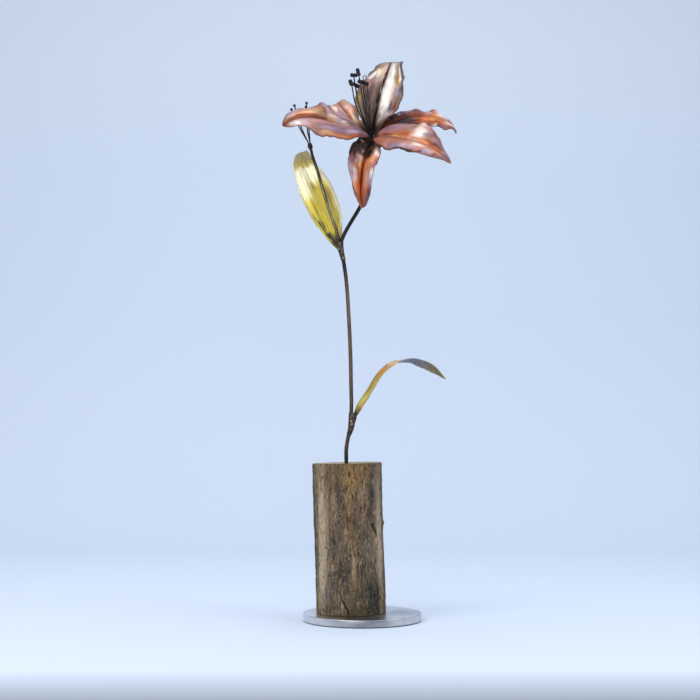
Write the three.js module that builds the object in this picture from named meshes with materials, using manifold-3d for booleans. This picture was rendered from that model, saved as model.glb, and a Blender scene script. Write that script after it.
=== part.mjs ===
// Metal lily on a log. A flower of six copper petals, two brass leaves and a spray of buds
// stand on dark bent rods, in a weathered log that is screwed to a round steel plate.
// Units are millimetres. +Z is up, +X to the right and +Y away from the front.
// The origin is the centre of the plate's underside.

import * as THREE from "three";
import { mergeVertices } from "three/addons/utils/BufferGeometryUtils.js";
import Module from "manifold-3d";

// ---------- Driving dimensions ----------

const GAP = 0.3; // clearance between pieces that touch on the real object
const SHEET = 0.9; // thickness of the beaten copper and brass sheet

const PLATE = { radius: 75, height: 10, chamfer: 0.8 };
const LOG = { radius: 43, height: 189, footX: -14.7, topX: -18.9, topSlope: 0.02, dish: 1 };
const SCREW = { offset: 20, headRadius: 4.6, shankRadius: 2.2, headHeight: 2.4, length: 42, sunk: 0.5 };

const ROD_RADIUS = 2.5; // main stem
const STALK_RADIUS = 2.2; // bud stalk at its foot
const STALK_TIP_RADIUS = 1.8;
const SOCKET_DEPTH = 34; // depth of the stem's hole in the log

// Centre line of the main stem, from its foot in the log to the fork.
const STEM_POINTS = [
  [-20, 0, 166], [-20, 0, 199], [-20, 0, 216], [-18, 0, 230], [-15, 0, 242], [-14, 0, 257],
  [-13.5, 0, 275], [-14, 0, 300], [-14.5, 0, 331], [-15.5, 0, 359], [-17, 0, 388], [-18.5, 0, 414],
  [-20.5, 0, 436], [-23, 0, 454], [-26, 0, 470], [-26.5, 0, 482],
];
// The same rod bent on from the fork to the back of the flower, before its last straight stretch.
const BRANCH_POINTS = [[-22, 2, 494], [-15, 5, 507], [-2, 12, 530], [8, 20, 552], [15, 24, 572]];
const STALK_POINTS = [
  [-29.4, -2.9, 484], [-33.6, -6, 499], [-40, -8, 517], [-47, -8, 538], [-56, -7, 570], [-63, -6, 591],
  [-65.5, -6, 601],
];

// Brazed joints: lumpy sleeves round the stem between two heights, leaning to one side.
const FORK_BRAZE = { from: 470, to: 482, radius: 3.6, lean: 0.3 };
const LEAF_BRAZE = { from: 236, to: 259, radius: 4.2, lean: 1.2 };

const BUD_COLLAR = { radius: 3.2, height: 8 };
const BUD = { wireRadius: 0.85, ballRadius: 1.9 };
// Each bud: the place of its ball and the point that its wire passes on the way.
const BUDS = [
  { name: "bud_1", pass: [-80.8, -1.5, 631], ball: [-90.7, -3, 653.5] },
  { name: "bud_2", pass: [-78.4, 3, 632], ball: [-87.2, 6, 660.5] },
  { name: "bud_3", pass: [-70.7, 3, 631], ball: [-71.6, 5, 663.5] },
  { name: "bud_4", pass: [-68.6, -2, 631], ball: [-71.9, -7, 656] },
];

// The flower: its centre and the direction in which it opens, up and towards the front.
const FLOWER_CENTRE = [12.4, 0, 617.7];
const FLOWER_AXIS = [-0.14, -0.52, 0.84];
const HUB = { radius: 4.4, neck: 3.4, below: 12, above: 2.6 };
const CLAW_RADIUS = 5.8; // distance of a petal's foot from the flower's axis

// Two sheet patterns, broad inner petals over narrow outer ones. The shoulders are the exponents
// that set where a pattern is widest, and the height is where its foot meets the hub.
const BROAD = { claw: 3.6, shoulders: [0.78, 0.74], height: 0 };
const NARROW = { claw: 3.8, shoulders: [0.85, 0.7], height: -4.5 };
const PILLOW = 0.13; // how far each half of a petal bulges, as a share of its width
const TIP_HALF_WIDTH = 0.7;
const RUFFLE_PLACES = [0.15, 0.33, 0.5, 0.67, 0.84]; // shares of the petal's length
const RUFFLE_SPREAD = 0.09;

// Each petal: its heading round the axis, its rise above the flower's plane at five even
// stations, and its swing sideways, roll and V-fold at three, all in degrees. The ruffles lift
// its left and right edges, in millimetres, at the five ruffle places.
const PETALS = [
  {
    name: "petal_left", pattern: BROAD, heading: 219, length: 126, halfWidth: 31,
    rise: [62, 31, 29, 13, -29], swing: [-15, -18, -25], roll: [-4, -28, -8], fold: [12, -4, 3],
    ruffles: { left: [-6, -3, 0, -4, 3], right: [3, -5, 7, -3, -2] },
  },
  {
    name: "petal_back_left", pattern: NARROW, heading: 137, length: 124, halfWidth: 17,
    rise: [54, 32, 8, -19, -40], swing: [16, -30, -25], roll: [-4, 2, 2], fold: [7, 2, 6],
    ruffles: { left: [8, 0, 7, -4, -3], right: [0, -7, -2, -6, 2] },
  },
  {
    name: "petal_top", pattern: BROAD, heading: 77, length: 124, halfWidth: 28,
    rise: [41, 40, 40, 24, -8], swing: [-3, -12, -1], roll: [13, 5, 0], fold: [38, 5, 10],
    ruffles: { left: [4, 3, 4, -4, -3], right: [7, -6, -6, 5, 6] },
  },
  {
    name: "petal_back_right", pattern: NARROW, heading: 16, length: 124, halfWidth: 20,
    rise: [43, 15, -7, -27, -73], swing: [3, 0, -30], roll: [11, 5, 11], fold: [27, -4, 15],
    ruffles: { left: [1, 2, 1, 1, 0], right: [-1, -1, 4, -5, -8] },
  },
  {
    name: "petal_right", pattern: BROAD, heading: -37, length: 124, halfWidth: 30,
    rise: [10, 3, 0, -23, -49], swing: [-2, -3, 4], roll: [15, 6, -24], fold: [31, 4, -5],
    ruffles: { left: [0, -1, 7, 0, -2], right: [-7, -4, 3, 0, 0] },
  },
  {
    name: "petal_front", pattern: NARROW, heading: -92, length: 119, halfWidth: 22,
    rise: [14, -9, -22, -47, -105], swing: [-9, -11, -14], roll: [-31, -4, -20], fold: [5, 37, 63],
    ruffles: { left: [0, -5, -9, 7, 4], right: [5, 5, 0, 4, -3] },
  },
];

const FILAMENT_RADIUS = 0.9;
const FILAMENT_RING = 2.1; // the filaments' feet stand on this radius on the hub
const ANTHER_RADIUS = 1.7;
// Each stamen: its foot's heading round the axis, a point that its filament passes, the two
// ends of its anther, and where along the anther the filament meets it.
const STAMENS = [
  { heading: 165, pass: [-4, -23, 655], ends: [[-13.6, -48, 687.5], [-9, -47, 687.5]], seat: 0.6 },
  { heading: 105, pass: [2.5, -20, 655], ends: [[-6, -38, 696], [-4.6, -37.5, 691]], seat: 1 },
  { heading: 225, pass: [-7.5, -30, 652], ends: [[-15, -55, 678.5], [-13.9, -54.6, 674.5]], seat: 1 },
  { heading: 285, pass: [-3, -29, 650], ends: [[-11, -44.5, 677.8], [-5.5, -42.5, 675.8]], seat: 0.3 },
  { heading: 45, pass: [5.5, -12.5, 655], ends: [[-3.2, -25, 682], [2.8, -24, 680.5]], seat: 0.5 },
  { heading: -15, pass: [10.2, -12.5, 652], ends: [[6.6, -21, 683.5], [6.7, -20.7, 681.5]], seat: 1 },
];
const PISTIL = { radius: 0.7, pass: [7.6, -16.5, 655], knot: [1.2, -19, 688.5], loop: 2 };

// Leaves: points along the midrib with half widths at each, and rolls, V-folds and edge ruffles.
const LEAF_UPPER = {
  spine: [
    [-29, 4.7, 474], [-35.5, 8.5, 491], [-42, 9, 510], [-53, 8, 537], [-64.5, 8, 561],
    [-73.5, 13, 581], [-77.5, 28, 599], [-76.5, 41, 606.5], [-75, 51, 602],
  ],
  halfWidth: [2.5, 10.5, 17.5, 21, 19.5, 15, 9.5, 4.5, 0.7],
  roll: [0, 0, 0, 0, 0], fold: [0, 8, 8, 10, 14],
  ruffles: { left: [0, 1, -1, 1, 0], right: [0, -2, 2, -2, 1] },
};
const LEAF_LOWER = {
  spine: [
    [-7.9, 0, 260.5], [-1, -3, 272], [11, -8, 288], [22, -10, 306], [34, -10, 320.5],
    [45, -8, 326.5], [61, -6, 327], [76, -6, 323], [90, -8, 316.5], [106, -10, 306],
  ],
  halfWidth: [4.5, 9, 12, 13, 13, 12.5, 13, 12.5, 9.5, 0.7],
  roll: [50, 18, 10, -18, -24], fold: [16, 12, 8, 8, 12],
  ruffles: { left: [0, 1, 0, 1, 0], right: [0, 0, -1, 1, 1] },
};

// ---------- Materials ----------

const COPPER = { color: 0xb8704f, roughness: 0.32, metalness: 1 };
const BRASS = { color: 0xcbb54e, roughness: 0.35, metalness: 1 };
const BROWN_BRASS = { color: 0x8d7a5c, roughness: 0.45, metalness: 1 };
const DARK_ROD = { color: 0x3a3836, roughness: 0.45, metalness: 0.9 };
const BROWN_ROD = { color: 0x5a4634, roughness: 0.45, metalness: 0.9 };
const STEEL = { color: 0xb9bcbf, roughness: 0.3, metalness: 1 };
const WOOD = { color: 0x9a7c5a, roughness: 0.85, metalness: 0 };

// ---------- Helpers: vectors and curves through even stations ----------

const vec = (point) => new THREE.Vector3(...point);
const radians = THREE.MathUtils.degToRad;

// The value at u, from 0 to 1, of a smooth curve through evenly spaced values.
function eased(values, u) {
  const last = values.length - 1;
  const place = Math.min(Math.max(u, 0), 1) * last;
  const i = Math.min(Math.floor(place), last - 1);
  const t = place - i;
  const slope = (k) => {
    if (k === 0) return values[1] - values[0];
    if (k === last) return values[last] - values[last - 1];
    return (values[k + 1] - values[k - 1]) / 2;
  };
  const t2 = t * t;
  const t3 = t2 * t;
  return (
    values[i] * (2 * t3 - 3 * t2 + 1) +
    slope(i) * (t3 - 2 * t2 + t) +
    values[i + 1] * (3 * t2 - 2 * t3) +
    slope(i + 1) * (t3 - t2)
  );
}

function easedPoint(points, u) {
  return new THREE.Vector3(
    eased(points.map((p) => p[0]), u),
    eased(points.map((p) => p[1]), u),
    eased(points.map((p) => p[2]), u),
  );
}

// ---------- Helpers: closed solids ----------

function solidFrom(positions, faces) {
  const geometry = new THREE.BufferGeometry();
  geometry.setAttribute("position", new THREE.Float32BufferAttribute(positions, 3));
  geometry.setIndex(faces);
  geometry.computeVertexNormals();
  return geometry;
}

// A sheet of even thickness from rows of points: both faces and the rim all round.
function sheetSolid(rows, thickness) {
  const rowCount = rows.length;
  const columnCount = rows[0].length;
  const positions = [];
  for (const side of [0.5, -0.5]) {
    for (let i = 0; i < rowCount; i++) {
      for (let j = 0; j < columnCount; j++) {
        const along = rows[Math.min(i + 1, rowCount - 1)][j].clone().sub(rows[Math.max(i - 1, 0)][j]);
        const across = rows[i][Math.min(j + 1, columnCount - 1)].clone().sub(rows[i][Math.max(j - 1, 0)]);
        const normal = along.cross(across).normalize();
        positions.push(...rows[i][j].clone().addScaledVector(normal, side * thickness));
      }
    }
  }
  const back = rowCount * columnCount;
  const at = (i, j) => i * columnCount + j;
  const faces = [];
  for (let i = 0; i < rowCount - 1; i++) {
    for (let j = 0; j < columnCount - 1; j++) {
      const [a, b, c, d] = [at(i, j), at(i + 1, j), at(i + 1, j + 1), at(i, j + 1)];
      faces.push(a, b, c, a, c, d);
      faces.push(back + a, back + c, back + b, back + a, back + d, back + c);
    }
  }
  const rim = (a, b) => faces.push(a, back + b, b, a, back + a, back + b);
  for (let i = 0; i < rowCount - 1; i++) {
    rim(at(i, 0), at(i + 1, 0));
    rim(at(i + 1, columnCount - 1), at(i, columnCount - 1));
  }
  for (let j = 0; j < columnCount - 1; j++) {
    rim(at(0, j + 1), at(0, j));
    rim(at(rowCount - 1, j), at(rowCount - 1, j + 1));
  }
  return solidFrom(positions, faces);
}

// A round bar along a list of centres, with a radius at each and a flat cap at both ends.
function barSolid(centres, radii, sides) {
  const count = centres.length;
  const positions = [];
  let normal = null;
  for (let i = 0; i < count; i++) {
    const tangent = centres[Math.min(i + 1, count - 1)].clone().sub(centres[Math.max(i - 1, 0)]).normalize();
    const start = normal ?? new THREE.Vector3(0, -1, 0.01);
    normal = start.clone().addScaledVector(tangent, -start.dot(tangent)).normalize();
    const binormal = tangent.clone().cross(normal);
    for (let k = 0; k < sides; k++) {
      const angle = (2 * Math.PI * k) / sides;
      const spoke = normal.clone().multiplyScalar(Math.cos(angle)).addScaledVector(binormal, Math.sin(angle));
      positions.push(...centres[i].clone().addScaledVector(spoke, radii[i]));
    }
  }
  const foot = positions.length / 3;
  positions.push(...centres[0], ...centres[count - 1]);
  const faces = [];
  for (let k = 0; k < sides; k++) {
    const next = (k + 1) % sides;
    faces.push(foot, next, k);
    faces.push(foot + 1, (count - 1) * sides + k, (count - 1) * sides + next);
    for (let i = 0; i < count - 1; i++) {
      const [a, b] = [i * sides + k, i * sides + next];
      faces.push(a, b, b + sides, a, b + sides, a + sides);
    }
  }
  return solidFrom(positions, faces);
}

// Points at even steps along a smooth curve through hand-set points.
function centresAlong(points, steps, from = 0, to = 1) {
  const centres = [];
  for (let i = 0; i <= steps; i++) {
    centres.push(easedPoint(points, from + ((to - from) * i) / steps));
  }
  return centres;
}

// A solid of revolution round +Z from [radius, height] pairs that start and end on the axis.
function turned(profile, segments) {
  const points = profile.map(([radius, height]) => new THREE.Vector2(radius, height));
  const geometry = new THREE.LatheGeometry(points, segments);
  geometry.rotateX(Math.PI / 2);
  return geometry;
}

// ---------- Helpers: boolean cuts ----------

const wasm = await Module();
wasm.setup();

// The merged mesh leaves out the flat triangles that a turned solid has on its axis.
function toManifold(geometry) {
  const bare = geometry.clone();
  bare.deleteAttribute("normal");
  bare.deleteAttribute("uv");
  const merged = mergeVertices(bare, 1e-4);
  const kept = [];
  const index = merged.index.array;
  for (let i = 0; i < index.length; i += 3) {
    const [a, b, c] = [index[i], index[i + 1], index[i + 2]];
    if (a !== b && b !== c && c !== a) kept.push(a, b, c);
  }
  return new wasm.Manifold(
    new wasm.Mesh({
      numProp: 3,
      vertProperties: new Float32Array(merged.attributes.position.array),
      triVerts: new Uint32Array(kept),
    }),
  );
}

function cut(body, tools) {
  let solid = toManifold(body);
  for (const tool of tools) {
    solid = solid.subtract(toManifold(tool));
  }
  const mesh = solid.getMesh();
  return solidFrom(Array.from(mesh.vertProperties), Array.from(mesh.triVerts));
}

// ---------- Plate, screws and log ----------

const LOG_FOOT = PLATE.height + GAP;
const LOG_TOP = LOG_FOOT + LOG.height;
const screwYs = [-SCREW.offset, SCREW.offset];

// A countersunk screw, or the hole for one, grown by a clearance.
function screwShape(grow, reach, bottom) {
  const shank = SCREW.shankRadius + grow;
  const head = SCREW.headRadius + grow;
  const shoulder = SCREW.sunk + SCREW.headHeight + grow;
  return turned([[0, bottom], [head, bottom], [head, SCREW.sunk], [shank, shoulder], [shank, reach - 4],
    [0, reach]], 20);
}

function plateSolid() {
  const { radius, height, chamfer } = PLATE;
  const disc = turned([[0, 0], [radius - chamfer, 0], [radius, chamfer], [radius, height - chamfer],
    [radius - chamfer, height], [0, height]], 72);
  const holes = screwYs.map((y) => screwShape(GAP, SCREW.length + 10, -1).translate(LOG.footX, y, 0));
  return cut(disc, holes);
}

function screwSolid(y) {
  return screwShape(0, SCREW.length, SCREW.sunk).translate(LOG.footX, y, 0);
}

// The log's radius at an angle round it and a height above the plate. Broad waves make it less
// than round, vertical ridges are its grain, and a knot stands out on its right front.
function logRadius(angle, height) {
  const broad = 0.7 * Math.cos(2 * angle + 0.6) + 0.5 * Math.cos(3 * angle + 0.02 * height);
  const grain = 0.45 * Math.cos(11 * angle + 0.012 * height) + 0.3 * Math.cos(17 * angle - 0.01 * height);
  const bump = (centre, level, wide, tall, lift) => {
    const turn = Math.atan2(Math.sin(angle - centre), Math.cos(angle - centre));
    return lift * Math.exp(-((turn / wide) ** 2) - ((height - level) / tall) ** 2);
  };
  const knot = bump(radians(-42), 104, 0.16, 14, 1.6) + bump(radians(-4), 112, 0.2, 6, 1.4);
  const crack = bump(radians(-112), 20, 0.09, 26, -1.6);
  return LOG.radius + broad + grain + knot + crack;
}

function logSolid() {
  const [sides, levels] = [44, 12];
  const positions = [];
  const rings = [];
  const addRing = (share, scale, sag) => {
    const height = share * LOG.height;
    const centreX = THREE.MathUtils.lerp(LOG.footX, LOG.topX, share);
    rings.push(positions.length / 3);
    for (let k = 0; k < sides; k++) {
      const angle = (2 * Math.PI * k) / sides;
      const radius = logRadius(angle, height) * scale;
      const x = radius * Math.cos(angle);
      const slope = share * share * LOG.topSlope * x;
      positions.push(centreX + x, radius * Math.sin(angle), LOG_FOOT + height + slope - sag);
    }
  };
  addRing(0, 0.97, 0);
  for (let i = 0; i <= levels; i++) addRing(0.008 + (0.984 * i) / levels, 1, 0);
  addRing(1, 0.97, 0);
  addRing(1, 0.55, LOG.dish * 0.7);
  const faces = [];
  for (let r = 0; r < rings.length - 1; r++) {
    for (let k = 0; k < sides; k++) {
      const [a, b] = [rings[r] + k, rings[r] + ((k + 1) % sides)];
      faces.push(a, b, b + sides, a, b + sides, a + sides);
    }
  }
  const centre = positions.length / 3;
  positions.push(LOG.footX, 0, LOG_FOOT, LOG.topX, 0, LOG_TOP - LOG.dish);
  for (let k = 0; k < sides; k++) {
    const next = (k + 1) % sides;
    faces.push(centre, next, k);
    faces.push(centre + 1, rings[rings.length - 1] + k, rings[rings.length - 1] + next);
  }
  const socketFloor = STEM_POINTS[0][2] - GAP;
  const holeRadius = ROD_RADIUS + GAP;
  const reach = SOCKET_DEPTH + 10; // past the log's top
  const socket = turned([[0, 0], [holeRadius, 0], [holeRadius, reach], [0, reach]], 16)
    .translate(STEM_POINTS[0][0], STEM_POINTS[0][1], socketFloor);
  const pilots = screwYs.map((y) => screwShape(GAP, SCREW.length + 2 * GAP, -1).translate(LOG.footX, y, 0));
  return cut(solidFrom(positions, faces), [socket, ...pilots]);
}

// ---------- Rods and brazed joints ----------

const flowerCentre = vec(FLOWER_CENTRE);
const flowerAxis = vec(FLOWER_AXIS).normalize();
const outward = new THREE.Vector3(1, 0, 0).addScaledVector(flowerAxis, -flowerAxis.x).normalize();
const upward = flowerAxis.clone().cross(outward);

const onAxis = (height) => flowerCentre.clone().addScaledVector(flowerAxis, height);

// The stem's points with the flower branch, which ends square under the hub.
function stemRoute() {
  const lastStretch = [-24, -HUB.below - 1.5 * GAP].map((height) => onAxis(height).toArray());
  return [...STEM_POINTS, ...BRANCH_POINTS, ...lastStretch];
}

function stemSolid() {
  const centres = centresAlong(stemRoute(), 60);
  return barSolid(centres, centres.map(() => ROD_RADIUS), 9);
}

function stalkSolid() {
  const centres = centresAlong(STALK_POINTS, 18);
  const radii = centres.map((_, i) => THREE.MathUtils.lerp(STALK_RADIUS, STALK_TIP_RADIUS, i / 18));
  return barSolid(centres, radii, 10);
}

// The share of the stem's route at which it reaches a height.
function shareAtHeight(route, height) {
  let share = 0;
  while (easedPoint(route, share).z < height) share += 0.0005;
  return share;
}

// A lumpy sleeve of braze, bored out to clear the stem.
function brazeSolid({ from, to, radius, lean }) {
  const steps = 7;
  const route = stemRoute();
  const [start, end] = [shareAtHeight(route, from), shareAtHeight(route, to)];
  const centres = centresAlong(route, steps, start, end);
  const swell = centres.map((_, i) => Math.sin((Math.PI * i) / steps));
  const radii = swell.map((share, i) => radius - 0.5 + 0.5 * share + 0.15 * Math.cos(3 * i));
  centres.forEach((centre, i) => centre.setX(centre.x + lean * swell[i]));
  const overrun = (end - start) / steps;
  const bore = centresAlong(route, steps + 2, start - overrun, end + overrun);
  return cut(barSolid(centres, radii, 12), [barSolid(bore, bore.map(() => ROD_RADIUS + 1.5 * GAP), 12)]);
}

// ---------- Buds ----------

// The collar sits on the stalk's end, in line with it.
function budCollarLine() {
  const end = vec(STALK_POINTS[STALK_POINTS.length - 1]);
  const along = end.clone().sub(vec(STALK_POINTS[STALK_POINTS.length - 2])).normalize();
  return { foot: end.addScaledVector(along, GAP), along };
}

function budCollarSolid() {
  const { foot, along } = budCollarLine();
  const shares = [0, 0.3, 0.7, 1];
  const centres = shares.map((share) => foot.clone().addScaledVector(along, share * BUD_COLLAR.height));
  const radii = [0.75, 1, 0.95, 0.8].map((share) => share * BUD_COLLAR.radius);
  return barSolid(centres, radii, 12);
}

// A wire from the collar's top that ends in a ball.
function budSolid({ pass, ball }, index) {
  const { foot, along } = budCollarLine();
  const angle = radians(225 - 90 * index);
  const start = foot.addScaledVector(along, BUD_COLLAR.height + 2 * GAP)
    .add(new THREE.Vector3(1.45 * Math.cos(angle), 1.45 * Math.sin(angle), 0.35 * Math.cos(angle)));
  const end = vec(ball);
  const heading = end.clone().sub(vec(pass)).normalize();
  const neck = end.clone().addScaledVector(heading, -BUD.ballRadius);
  const centres = centresAlong([start.toArray(), pass, neck.toArray()], 8);
  const radii = centres.map(() => BUD.wireRadius);
  for (const latitude of [-50, -20, 15, 50, 80]) {
    centres.push(end.clone().addScaledVector(heading, BUD.ballRadius * Math.sin(radians(latitude))));
    radii.push(BUD.ballRadius * Math.cos(radians(latitude)));
  }
  return barSolid(centres, radii, 8);
}

// ---------- Petals and leaves ----------

// One row of points across a sheet, from its right edge to its left one.
function sheetRow(centre, side, normal, halfWidth, fold, ruffles, u, columns) {
  const lifts = { 1: edgeLift(ruffles.left, u), "-1": edgeLift(ruffles.right, u) };
  const row = [];
  for (let j = 0; j <= columns; j++) {
    const v = (2 * j) / columns - 1;
    const x = Math.abs(v);
    const edge = v > 0 ? 1 : -1;
    const pillow = PILLOW * 4 * x * (1 - x);
    const out = halfWidth * x * Math.cos(fold);
    const up = halfWidth * (x * Math.sin(fold) + pillow) + lifts[edge] * x ** 2.2;
    row.push(centre.clone().addScaledVector(side, edge * out).addScaledVector(normal, up));
  }
  return row;
}

// How far the ruffles lift one edge at a place along the sheet. They die out at the tip.
function edgeLift(lifts, u) {
  const bump = (lift, i) => lift * Math.exp(-(((u - RUFFLE_PLACES[i]) / RUFFLE_SPREAD) ** 2));
  return lifts.map(bump).reduce((sum, lift) => sum + lift) * Math.min(1, (1 - u) * 8);
}

// Turns the side and normal of a row round the sheet's run.
function rolled(side, normal, angle) {
  return [
    side.clone().multiplyScalar(Math.cos(angle)).addScaledVector(normal, Math.sin(angle)),
    normal.clone().multiplyScalar(Math.cos(angle)).addScaledVector(side, -Math.sin(angle)),
  ];
}

// A petal grows from the hub along a path whose rise and swing change along it.
function petalRows(petal, rows, columns) {
  const { length, halfWidth } = petal;
  const { claw, shoulders, height } = petal.pattern;
  const heading = radians(petal.heading);
  const out = outward.clone().multiplyScalar(Math.cos(heading)).addScaledVector(upward, Math.sin(heading));
  const across = flowerAxis.clone().cross(out);
  const runAt = (u) => {
    const rise = radians(eased(petal.rise, u));
    const swing = radians(eased(petal.swing, u));
    return out.clone().multiplyScalar(Math.cos(rise) * Math.cos(swing))
      .addScaledVector(across, Math.cos(rise) * Math.sin(swing))
      .addScaledVector(flowerAxis, Math.sin(rise));
  };
  const [a, b] = shoulders;
  const peak = (a / (a + b)) ** a * (b / (a + b)) ** b;
  const widthAt = (u) =>
    claw * (1 - u) ** 2 + (halfWidth * u ** a * (1 - u) ** b) / peak + TIP_HALF_WIDTH * u;
  const fine = 6;
  const centre = flowerCentre.clone().addScaledVector(out, CLAW_RADIUS).addScaledVector(flowerAxis, height);
  const result = [];
  for (let i = 0; i <= rows; i++) {
    const u = i / rows;
    const run = runAt(u);
    const flatSide = across.clone().addScaledVector(run, -across.dot(run)).normalize();
    const [side, normal] = rolled(flatSide, run.clone().cross(flatSide), radians(eased(petal.roll, u)));
    const fold = radians(eased(petal.fold, u));
    result.push(sheetRow(centre, side, normal, widthAt(u), fold, petal.ruffles, u, columns));
    for (let k = 0; k < fine && i < rows; k++) {
      centre.addScaledVector(runAt((i + (k + 0.5) / fine) / rows), length / rows / fine);
    }
  }
  return result;
}

// A leaf follows a midrib through hand-set points. Its flat side starts from a given direction.
function leafRows(leaf, sideHint, rows, columns) {
  const result = [];
  for (let i = 0; i <= rows; i++) {
    const u = i / rows;
    const run = easedPoint(leaf.spine, u + 0.004).sub(easedPoint(leaf.spine, u - 0.004)).normalize();
    const flatSide = sideHint.clone().addScaledVector(run, -sideHint.dot(run)).normalize();
    const [side, normal] = rolled(flatSide, run.clone().cross(flatSide), radians(eased(leaf.roll, u)));
    const fold = radians(eased(leaf.fold, u));
    const halfWidth = eased(leaf.halfWidth, u);
    result.push(sheetRow(easedPoint(leaf.spine, u), side, normal, halfWidth, fold, leaf.ruffles, u, columns));
  }
  return result;
}

// ---------- Hub, stamens and pistil ----------

function alongAxis(geometry, height) {
  const turn = new THREE.Quaternion().setFromUnitVectors(new THREE.Vector3(0, 0, 1), flowerAxis);
  geometry.applyQuaternion(turn);
  const foot = onAxis(height);
  return geometry.translate(foot.x, foot.y, foot.z);
}

function hubSolid() {
  const { radius, neck, below, above } = HUB;
  const profile = [[0, 0], [ROD_RADIUS, 0], [radius, 3], [radius, below - 4.6], [neck, below - 2.6],
    [neck, below + above], [0, below + above]];
  return alongAxis(turned(profile, 18), -below);
}

// A point on the ring where the filaments stand, clear of the hub.
function ringPoint(headingDegrees, radius) {
  const heading = radians(headingDegrees);
  return onAxis(HUB.above + 2.5 * GAP)
    .addScaledVector(outward, radius * Math.cos(heading))
    .addScaledVector(upward, radius * Math.sin(heading));
}

// A filament leaves the hub, bends at the point that it passes and ends under its anther. It
// stops short by the anther's radius, and by more where it meets the anther's side aslant.
function filamentSolid({ heading, pass, ends, seat }) {
  const meeting = vec(ends[0]).lerp(vec(ends[1]), seat);
  const approach = meeting.clone().sub(vec(pass)).normalize();
  const lean = seat === 1 ? 0 : Math.abs(approach.dot(vec(ends[1]).sub(vec(ends[0])).normalize()));
  const short = (ANTHER_RADIUS + 1.4 * GAP + FILAMENT_RADIUS * lean) / Math.sqrt(1 - lean * lean);
  const tip = meeting.clone().addScaledVector(approach, -short);
  const centres = centresAlong([ringPoint(heading, FILAMENT_RING).toArray(), pass, tip.toArray()], 10);
  return barSolid(centres, centres.map(() => FILAMENT_RADIUS), 6);
}

// An anther is a short bar with rounded ends.
function antherSolid({ ends }) {
  const [start, end] = ends.map(vec);
  const along = end.clone().sub(start).normalize();
  const centres = [];
  const radii = [];
  for (const latitude of [-75, -35]) {
    centres.push(start.clone().addScaledVector(along, ANTHER_RADIUS * Math.sin(radians(latitude))));
    radii.push(ANTHER_RADIUS * Math.cos(radians(latitude)));
  }
  centres.push(start, end);
  radii.push(ANTHER_RADIUS, ANTHER_RADIUS);
  for (const latitude of [35, 75]) {
    centres.push(end.clone().addScaledVector(along, ANTHER_RADIUS * Math.sin(radians(latitude))));
    radii.push(ANTHER_RADIUS * Math.cos(radians(latitude)));
  }
  return barSolid(centres, radii, 8);
}

// The pistil is a wire whose end is bent round into a small open loop.
function pistilSolid() {
  const { radius, pass, knot, loop } = PISTIL;
  const centres = centresAlong([ringPoint(0, 0).toArray(), pass, knot], 10);
  const turns = 8;
  for (let i = 1; i <= turns; i++) {
    const angle = radians(180 - (290 * i) / turns);
    centres.push(new THREE.Vector3(
      knot[0] + loop + loop * Math.cos(angle),
      knot[1] + 0.3 * i,
      knot[2] + 1.4 * loop * Math.sin(angle),
    ));
  }
  return barSolid(centres, centres.map(() => radius), 6);
}

// ---------- Assembly ----------

const lily = new THREE.Group();

function add(name, geometry, { color, roughness, metalness }) {
  const material = new THREE.MeshStandardMaterial({ color, roughness, metalness });
  const mesh = new THREE.Mesh(geometry, material);
  mesh.name = name;
  lily.add(mesh);
}

add("base_plate", plateSolid(), STEEL);
screwYs.forEach((y, i) => add(`base_screw_${i + 1}`, screwSolid(y), STEEL));
add("log", logSolid(), WOOD);
add("stem", stemSolid(), BROWN_ROD);
add("leaf_braze", brazeSolid(LEAF_BRAZE), BROWN_BRASS);
add("fork_braze", brazeSolid(FORK_BRAZE), BROWN_BRASS);
add("bud_stalk", stalkSolid(), DARK_ROD);
add("bud_collar", budCollarSolid(), DARK_ROD);
BUDS.forEach((bud, i) => add(bud.name, budSolid(bud, i), DARK_ROD));
add("leaf_upper", sheetSolid(leafRows(LEAF_UPPER, new THREE.Vector3(-1, 0, 0), 18, 8), SHEET), BRASS);
add("leaf_lower", sheetSolid(leafRows(LEAF_LOWER, new THREE.Vector3(0, 1, 0), 22, 6), SHEET), BRASS);
add("flower_hub", hubSolid(), DARK_ROD);
PETALS.forEach((petal) => add(petal.name, sheetSolid(petalRows(petal, 18, 8), SHEET), COPPER));
STAMENS.forEach((stamen, i) => {
  add(`filament_${i + 1}`, filamentSolid(stamen), DARK_ROD);
  add(`anther_${i + 1}`, antherSolid(stamen), DARK_ROD);
});
add("pistil", pistilSolid(), DARK_ROD);

export default lily;
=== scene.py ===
# %% [markdown]
# # A metal lily on a log
#
# The object is a hand-made sculpture. Six petals and two leaves are beaten out of thin copper
# and brass sheet, coloured with a torch and brazed to bent steel rods. The main rod stands in a
# hole in a weathered log, and the log is screwed to a round steel plate.
#
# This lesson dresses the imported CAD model. It makes a fine surface for each piece with numpy,
# gives it a finish made of shader nodes, and lets it ride on the body it belongs to.

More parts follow.
